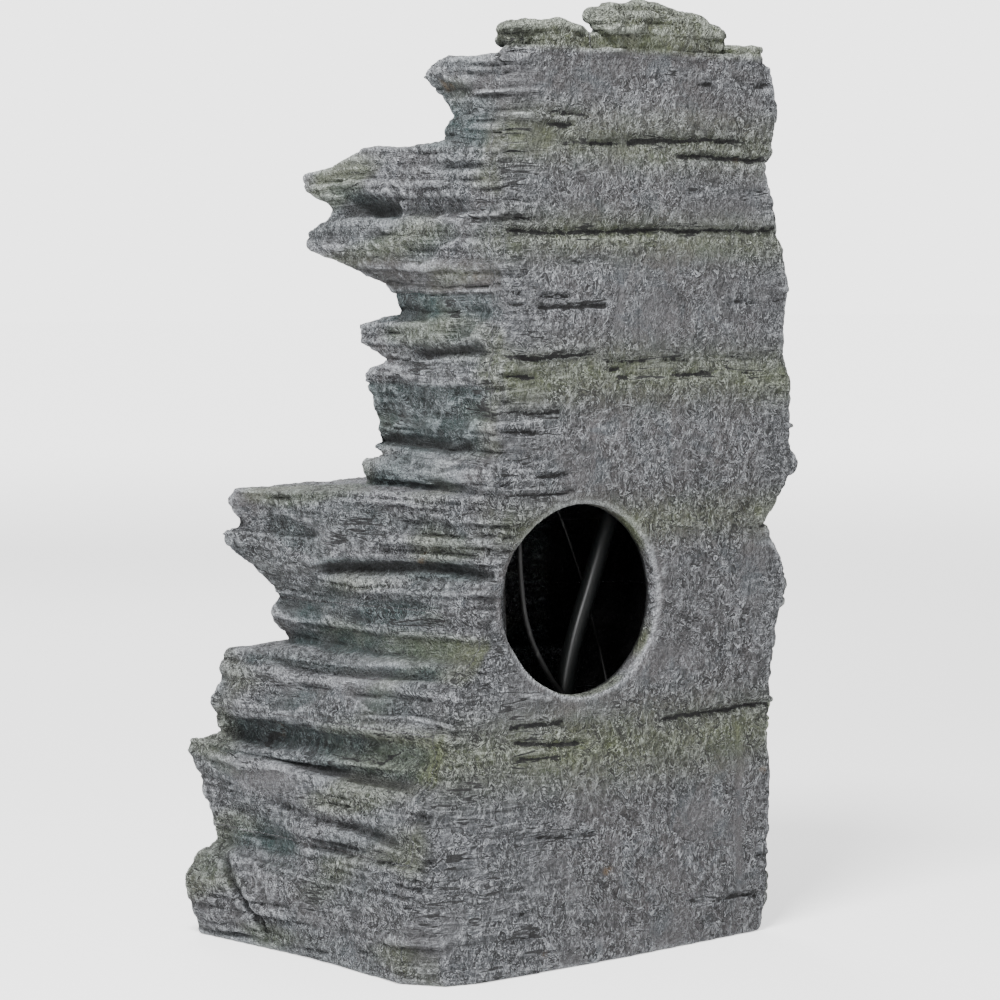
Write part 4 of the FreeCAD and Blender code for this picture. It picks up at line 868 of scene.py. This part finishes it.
    broad = average(places, 20)
    edge = np.einsum("ij,ij->i", places - broad, facing_out) * 1000
    edge -= 0.75 * corner * np.maximum(edge, 0)
    recess = ease(ledge, -1.0, -8.0)
    relief = crumple - 0.35 * wall * cracks - 0.6 * side_joint
    moss = np.zeros(len(p))
    for band, half, share in MOSS_BANDS:
        moss = np.maximum(moss, share * np.exp(-(((height - band - slow_wander) / half) ** 2)))
    moss_patch = ease(noise(p, (120, 120, 45), 6), 0.0, 0.55)
    near_corner = ease(reach, 210, 90)
    side_moss = np.maximum(0.6 * moss_patch, 0.95 * near_corner * between(height, 206, 250, 12))
    side_moss = np.maximum(side_moss, 0.8 * near_corner * between(height, 318, 345, 8))
    past_corner = ease(reach + 26 * noise(p, (60, 60, 34), 2), 8, 56)
    banded = np.maximum(wall, 0.8 * side * (1 - past_corner))
    moss = banded * moss * (0.75 + 0.25 * moss_patch) + side * side_moss
    moss = np.maximum(moss, 0.75 * in_crown)
    teal_patch = ease(noise(p, (110, 110, 60), 5), -0.15, 0.45)
    # teal in ledge recesses, scooped hollows and bands: a tint of the rock's own, darkened as painted
    # shade
    teal = 0.95 * recess + 0.3 * teal_patch + dark_teal * (0.8 + 0.2 * teal_patch)
    teal = side * (1 - rim) * past_corner * np.clip(teal, 0, 1)
    laminated = side * (0.35 + 0.55 * patchy)
    laminated += wall * np.maximum(0.12 + 0.8 * edge_side, 0.8 * near_crack)
    laminated = np.clip(np.maximum(laminated, 0.8 * corner) * (1 - 0.8 * calm) * (1 - rim), 0, 1)
    bedded_cracks = ease(noise(p, (120, 120, 35), 1), 0.05, 0.5)
    near_edge = 0.9 * edge_side * ease(along, 200, 150)
    cracked = wall * np.maximum.reduce([near_crack, 0.55 * leaf, near_edge])
    cracked += side * (0.4 + 0.6 * bedded_cracks)
    cracked *= (1 - 0.9 * lip) * (1 - 0.8 * below_hole) * (1 - rim) * ease(steep, 0.3, 0.7)
    keep = dict(
        relief=relief,
        edge=edge,
        ledge=ledge,
        moss=moss,
        teal=teal,
        calm=calm,
        room=room,
        # where undersides are painted darker as shade
        under=np.maximum(under, smoothed),
        groove=ease(groove, 2.5, 9.0),
        crack_line=wall * crack_line,
        # painted light: the side's upward faces made paler, as if lit from above
        top=side * ease(facing_out[:, 2], 0.45, 0.9),
        cracked=cracked,
        laminated=laminated,
        level=level,
    )
    for name, values in keep.items():
        mesh.attributes.new(name, "FLOAT", "POINT").data.foreach_set("value", values.astype(np.float32))


# The heights of the joint between the two cascade castings and of three cuts below it and one above it,
# which only keep each piece's mesh small.
SPLIT_HEIGHT = 0.494
KNEE_HEIGHT = 0.12
WAIST_HEIGHT = 0.25
BELLY_HEIGHT = 0.37
HEAD_HEIGHT = 0.7
CROWN_HEIGHT = 0.943
WALL_Y = (REAR_Y - WALL_THICKNESS) / 1000
LOW_STONE_X = 0.011
FAR_STONE_X = -0.186
# The ranges that the castings fill along X, Y and Z; a metre from the middle is well off the rock.
OFF = 1.0
ALL = (-OFF, OFF)
REAR = (WALL_Y, OFF)
FRONT = (-OFF, WALL_Y)
CROWN = (CROWN_HEIGHT, 2 * OFF)
# Each casting: its piece, the CAD nodes that it stands for, and its three ranges.
CASTINGS = [
    ("rear_wall_foot", ["rear_wall"], ALL, REAR, (-OFF, SPLIT_HEIGHT)),
    ("rear_wall_head", ["rear_wall"], ALL, REAR, (SPLIT_HEIGHT, CROWN_HEIGHT)),
    ("cascade_foot", ["lower_cascade_shell"], ALL, FRONT, (-OFF, KNEE_HEIGHT)),
    ("cascade_knee", ["lower_cascade_shell"], ALL, FRONT, (KNEE_HEIGHT, WAIST_HEIGHT)),
    ("cascade_waist", ["lower_cascade_shell"], ALL, FRONT, (WAIST_HEIGHT, BELLY_HEIGHT)),
    ("cascade_belly", ["lower_cascade_shell"], ALL, FRONT, (BELLY_HEIGHT, SPLIT_HEIGHT)),
    ("cascade_chest", ["upper_cascade_shell"], ALL, FRONT, (SPLIT_HEIGHT, HEAD_HEIGHT)),
    ("cascade_head", ["upper_cascade_shell"], ALL, FRONT, (HEAD_HEIGHT, CROWN_HEIGHT)),
    ("crown_low", ["crown_stone_low"], (LOW_STONE_X, OFF), ALL, CROWN),
    ("crown_middle", ["crown_boulder", "crown_slab"], (FAR_STONE_X, LOW_STONE_X), ALL, CROWN),
    ("crown_far", ["crown_stone_far"], (-OFF, FAR_STONE_X), ALL, CROWN),
]


def casting(skin, name, nodes, *ranges):
    """The part of the skin inside a box, closed where it was cut."""
    cutter = box_item(*zip(*ranges))
    modifier = skin.modifiers.new("Part", "BOOLEAN")
    modifier.operation = "INTERSECT"
    modifier.solver = "MANIFOLD"
    modifier.object = cutter
    mesh = evaluated(skin)
    skin.modifiers.remove(modifier)
    bpy.data.objects.remove(cutter)
    mesh.name = name
    mesh.materials.clear()
    mesh.materials.append(painted)
    mesh.shade_smooth()
    mesh.set_sharp_from_angle(angle=math.radians(62))
    item = added(name, mesh)
    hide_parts(*nodes)
    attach(item, "rock")


skin_mesh, coarse_mesh = joined_rock((VOXEL, COARSE_VOXEL))
rock_relief(skin_mesh, coarse_mesh)
skin = added("Skin", skin_mesh)
painted = rock_material()
for row in CASTINGS:
    casting(skin, *row)
bpy.data.objects.remove(skin)


# ---- Plastics, rubber, metal and glass ----


def moulded(name, base, paler, low_rough, high_rough, grain_scale, grain_depth, **more):
    """A moulded or cast finish: a fine grain, a soft haze and pale streaks of painted highlight."""
    s = Shader(name)
    haze = s.noise(22.0, 4.0, 0.6)
    grain = s.noise(grain_scale, 2.0, 0.6)
    highlight_streaks = s.step(s.noise(140.0, 3.0, 0.6, s.stretched(1.0, 1.0, 0.25)), 0.56, 0.70)
    colour = s.mix(s.step(haze, 0.35, 0.68), base, paler)
    # painted highlight: pale streaks where light would catch the surface
    colour = s.mix(s.times(highlight_streaks, 0.12), colour, (0.4, 0.4, 0.39))
    rough = s.step(haze, 0.3, 0.7, low_rough, high_rough)
    return s.finish(Base_Color=colour, Roughness=rough, Normal=s.bump(grain, grain_depth), **more)


def brushed(name, base, paler, streaks):
    """Metal with fine drawn streaks, which run along the smallest of their three scales."""
    s = Shader(name)
    lines = s.noise(900.0, 3.0, 0.6, s.stretched(*streaks))
    haze = s.noise(60.0, 3.0, 0.6)
    colour = s.mix(s.step(haze, 0.35, 0.7), base, paler)
    rough = s.step(lines, 0.3, 0.7, 0.24, 0.42)
    return s.finish(Base_Color=colour, Metallic=1.0, Roughness=rough, Normal=s.bump(lines, 0.00012))


def clear(name, tint, low_rough, high_rough, transmission, gloss):
    """Clear plastic or glass with a faint film on it."""
    s = Shader(name)
    film = s.noise(34.0, 4.0, 0.6, s.stretched(1.0, 1.0, 0.3))
    colour = s.mix(s.step(film, 0.4, 0.65), tint, tuple(0.8 * part for part in tint))
    rough = s.step(film, 0.35, 0.7, low_rough, high_rough)
    ripple = s.bump(film, 0.0004)
    s.put(s.principled.inputs["Specular IOR Level"], gloss)
    return s.finish(
        Base_Color=colour, Roughness=rough, IOR=1.46, Transmission_Weight=transmission, Normal=ripple
    )


PAN_PLASTIC = moulded("PanPlastic", (0.02, 0.02, 0.022), (0.034, 0.034, 0.036), 0.42, 0.6, 900.0, 0.0003)
PUMP_PLASTIC = moulded(
    "PumpPlastic", (0.012, 0.012, 0.014), (0.022, 0.022, 0.024), 0.3, 0.46, 1300.0, 0.0002
)
DIAL_PLASTIC = moulded("DialPlastic", (0.03, 0.10, 0.30), (0.05, 0.13, 0.34), 0.22, 0.34, 1300.0, 0.0001)
SOFT_RUBBER = moulded("SoftRubber", (0.018, 0.018, 0.018), (0.03, 0.03, 0.03), 0.62, 0.8, 1600.0, 0.0002)
CORD_RUBBER = moulded("CordRubber", (0.012, 0.012, 0.012), (0.02, 0.02, 0.021), 0.4, 0.55, 1800.0, 0.0001)
FERRITE = moulded("Ferrite", (0.045, 0.045, 0.048), (0.075, 0.075, 0.078), 0.35, 0.55, 1200.0, 0.0002)
CERAMIC = moulded("ShaftCeramic", (0.78, 0.77, 0.73), (0.86, 0.85, 0.82), 0.08, 0.18, 2200.0, 0.00005)
STEEL = brushed("BandSteel", (0.56, 0.56, 0.57), (0.68, 0.68, 0.69), (1.0, 1.0, 0.06))
BRASS = brushed("PinBrass", (0.70, 0.52, 0.24), (0.80, 0.64, 0.34), (0.06, 0.06, 1.0))
# painted shade: the clear hose tinted dark, for the dark hollow that it runs in
HOSE_CLEAR = clear("ClearHose", (0.06, 0.067, 0.067), 0.36, 0.50, 0.8, 0.16)
LENS_CLEAR = clear("LampLens", (0.90, 0.90, 0.86), 0.04, 0.12, 0.9, 0.5)

PAINTED_NODES = [
    (PAN_PLASTIC, ["reservoir_pan", "basin_grate", "cord_peg", "lead_clip_upper", "lead_clip_lower"]),
    (PUMP_PLASTIC, ["pump_housing", "pump_volute", "strainer_cage", "terminal_cap"]),
    (PUMP_PLASTIC, ["spill_fitting", "fitting_nut", "lamp_housing", "lamp_bezel"]),
    (DIAL_PLASTIC, ["flow_dial", "impeller"]),
    (SOFT_RUBBER, ["seal_ring", "cord_gland", "fitting_washer", "shaft_bush_rear", "shaft_bush_front"]),
    (SOFT_RUBBER, [f"suction_foot_{number}" for number in range(1, 5)]),
    (CORD_RUBBER, ["plug_relief", "plug_body", "coil_tie"]),
    (FERRITE, ["rotor_magnet"]),
    (CERAMIC, ["impeller_shaft"]),
    (STEEL, ["hose_clamp_pump", "hose_clamp_top"]),
    (BRASS, ["plug_pins"]),
    (LENS_CLEAR, ["lamp_lens"]),
]
for material, names in PAINTED_NODES:
    for name in names:
        for slot in NODES[name].material_slots:
            slot.material = material

# ---- The cord, the lamp's lead and the hose ----


def spline_curve(name, points, radius):
    """A round cord along one smooth open NURBS spline."""
    data = bpy.data.curves.new(name, "CURVE")
    data.dimensions = "3D"
    data.bevel_depth = radius
    data.bevel_resolution = 5
    data.resolution_u = 6
    data.use_fill_caps = True
    spline = data.splines.new("NURBS")
    spline.points.add(len(points) - 1)
    for point, place in zip(spline.points, points):
        point.co = (*place, 1.0)
    spline.order_u = 3
    spline.use_endpoint_u = True
    return added(name, data)


def route(points):
    return [rock_point(*point) for point in points]


CORD_DIAMETER = 0.006
GLAND_TIP = (311, 108, 100)
# From the gland up and over the peg, then down to the put-away coil.
CORD_RUN = [
    GLAND_TIP, (311, 108, 136), (300, 104, 188), (262, 84, 240), (214, 74, 284), (178, 72, 340),
    (168, 71, 400), (166, 70, 450), (163, 82, 491), (160, 118, 492), (157, 131, 450), (152, 133, 380),
    (150, 138, 300), (144, 136, 220), (138, 140, 140), (136, 138, 76), (130, 130, 40), (125, 116, 24),
]
# From the coil out to the plug.
TAIL_RUN = [(94, 151.2, 13.6), (108, 160, 13), (125, 176, 14), (136, 196, 19), (140, 218, 19)]
COIL_CENTRE = (92, 114)
# The coil's turns, top ones first: radius and height of each.
COIL_TURNS = [(36.2, 19.2), (29.8, 19.2), (29.8, 12.8), (36.2, 12.8)]
TURN_POINTS = 16
WOUND_TURNS = 3.75
COIL_POINTS = int(WOUND_TURNS * TURN_POINTS)
# The spline passes a little inside its control points.
SPLINE_SPREAD = 1.012

cord_route = list(CORD_RUN)
for number in range(1, COIL_POINTS):
    turn = number / TURN_POINTS
    at = int(turn)
    change = float(ease(turn - at, 0.86, 1.0))
    radius, level = COIL_TURNS[at]
    next_radius, next_level = COIL_TURNS[min(at + 1, len(COIL_TURNS) - 1)]
    radius += change * (next_radius - radius)
    level += change * (next_level - level)
    angle = -2 * math.pi * turn
    reach_out = SPLINE_SPREAD * radius
    cord_route.append((
        COIL_CENTRE[0] + reach_out * math.cos(angle),
        COIL_CENTRE[1] + reach_out * math.sin(angle),
        level,
    ))
cord_route += TAIL_RUN
cord = spline_curve("MainsCord", route(cord_route), CORD_DIAMETER / 2)
cord.data.materials.append(CORD_RUBBER)
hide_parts("power_cord", "power_coil", "power_tail")
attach(cord, "rock")

LEAD_DIAMETER = 0.003
# The lamp's lead, held at the lamp, at two clips and at the cap on the pump.
LEAD_RUN = [
    (205, 128, 875), (205, 108, 873), (213, 90, 846), (222, 92, 806), (232, 120, 766), (240, 158, 722),
    (246, 176, 668), (252, 182.6, 612), (262, 184.4, 556), (276, 176, 506), (294, 164, 456),
    (316, 160, 400), (332, 156, 344), (342, 146, 288), (345, 132, 232), (338, 122, 176),
    (327, 108, 130), (327, 108, 92),
]
lead = spline_curve("LampLead", route(LEAD_RUN), LEAD_DIAMETER / 2)
lead.data.materials.append(CORD_RUBBER)
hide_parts("lamp_lead")
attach(lead, "rock")

# The hose from the pump's spigot to the fitting under the trough.
HOSE_RUN = [
    (248, 108, 86), (248, 108, 170), (258, 110, 290), (300, 104, 410), (338, 106, 520), (348, 112, 620),
    (334, 116, 694), (294, 114, 756), (262, 112, 806), (262, 112, 856),
]
HOSE_OUTER = 0.010
HOSE_BORE = 0.008
HOSE_SIDES = 40


def spline_places(points):
    """Places along the smooth spline through the route's corners."""
    guide = spline_curve("Guide", points, 0.0)
    guide.data.resolution_u = 14
    guide.data.use_fill_caps = False
    mesh = evaluated(guide)
    places = [vertex.co.copy() for vertex in mesh.vertices]
    bpy.data.objects.remove(guide)
    return places


def hollow_tube(name, points, outer, bore, sides):
    """A tube with a bore and flat ends, its section carried along the spline without twisting."""
    places = spline_places(points)
    rings = []
    across = Vector((1, 0, 0))
    for index, place in enumerate(places):
        ahead = (places[min(index + 1, len(places) - 1)] - places[max(index - 1, 0)]).normalized()
        across = (across - ahead * across.dot(ahead)).normalized()
        up = ahead.cross(across)
        spokes = []
        for step in range(sides):
            angle = 2 * math.pi * step / sides
            spokes.append(across * math.cos(angle) + up * math.sin(angle))
        rings.append((place, spokes))
    build = bmesh.new()
    outside = [[build.verts.new(place + spoke * outer) for spoke in spokes] for place, spokes in rings]
    inside = [[build.verts.new(place + spoke * bore) for spoke in spokes] for place, spokes in rings]
    for step in range(sides):
        after = (step + 1) % sides
        for lower, upper in zip(outside, outside[1:]):
            build.faces.new((lower[step], lower[after], upper[after], upper[step]))
        for lower, upper in zip(inside, inside[1:]):
            build.faces.new((lower[after], lower[step], upper[step], upper[after]))
        build.faces.new((outside[0][after], outside[0][step], inside[0][step], inside[0][after]))
        build.faces.new((outside[-1][step], outside[-1][after], inside[-1][after], inside[-1][step]))
    mesh = bpy.data.meshes.new(name)
    build.to_mesh(mesh)
    build.free()
    mesh.shade_smooth()
    mesh.set_sharp_from_angle(angle=math.radians(50))
    return added(name, mesh)


hose = hollow_tube("ClearHose", route(HOSE_RUN), HOSE_OUTER, HOSE_BORE, HOSE_SIDES)
hose.data.materials.append(HOSE_CLEAR)
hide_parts("delivery_hose")
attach(hose, "rock")

# ---- Floor ----

floor_mesh = bpy.data.meshes.new("Floor")
FLOOR_HALF = 40
floor_corners = [(x * FLOOR_HALF, y * FLOOR_HALF, 0) for x, y in ((-1, -1), (1, -1), (1, 1), (-1, 1))]
floor_mesh.from_pydata(floor_corners, [], [(0, 1, 2, 3)])
floor = added("Floor", floor_mesh)
floor_shader = Shader("PaleFloor")
# Like the air, the floor looks paler than the light it gives, and as pale as the air far off.
seen = floor_shader.add("ShaderNodeLightPath").outputs["Is Camera Ray"]
floor_shader.put(floor_shader.principled.inputs["Emission Color"], (1.0, 1.0, 1.0))
distance = floor_shader.add("ShaderNodeVectorMath", operation="LENGTH")
floor_shader.put(distance.inputs[0], floor_shader.place)
paleness = floor_shader.step(distance.outputs["Value"], 1.0, 10.0, 1.05, 2.7)
floor_paint = floor_shader.finish(
    Base_Color=(0.86, 0.86, 0.86), Roughness=0.9, Emission_Strength=floor_shader.times(seen, paleness)
)
floor_mesh.materials.append(floor_paint)
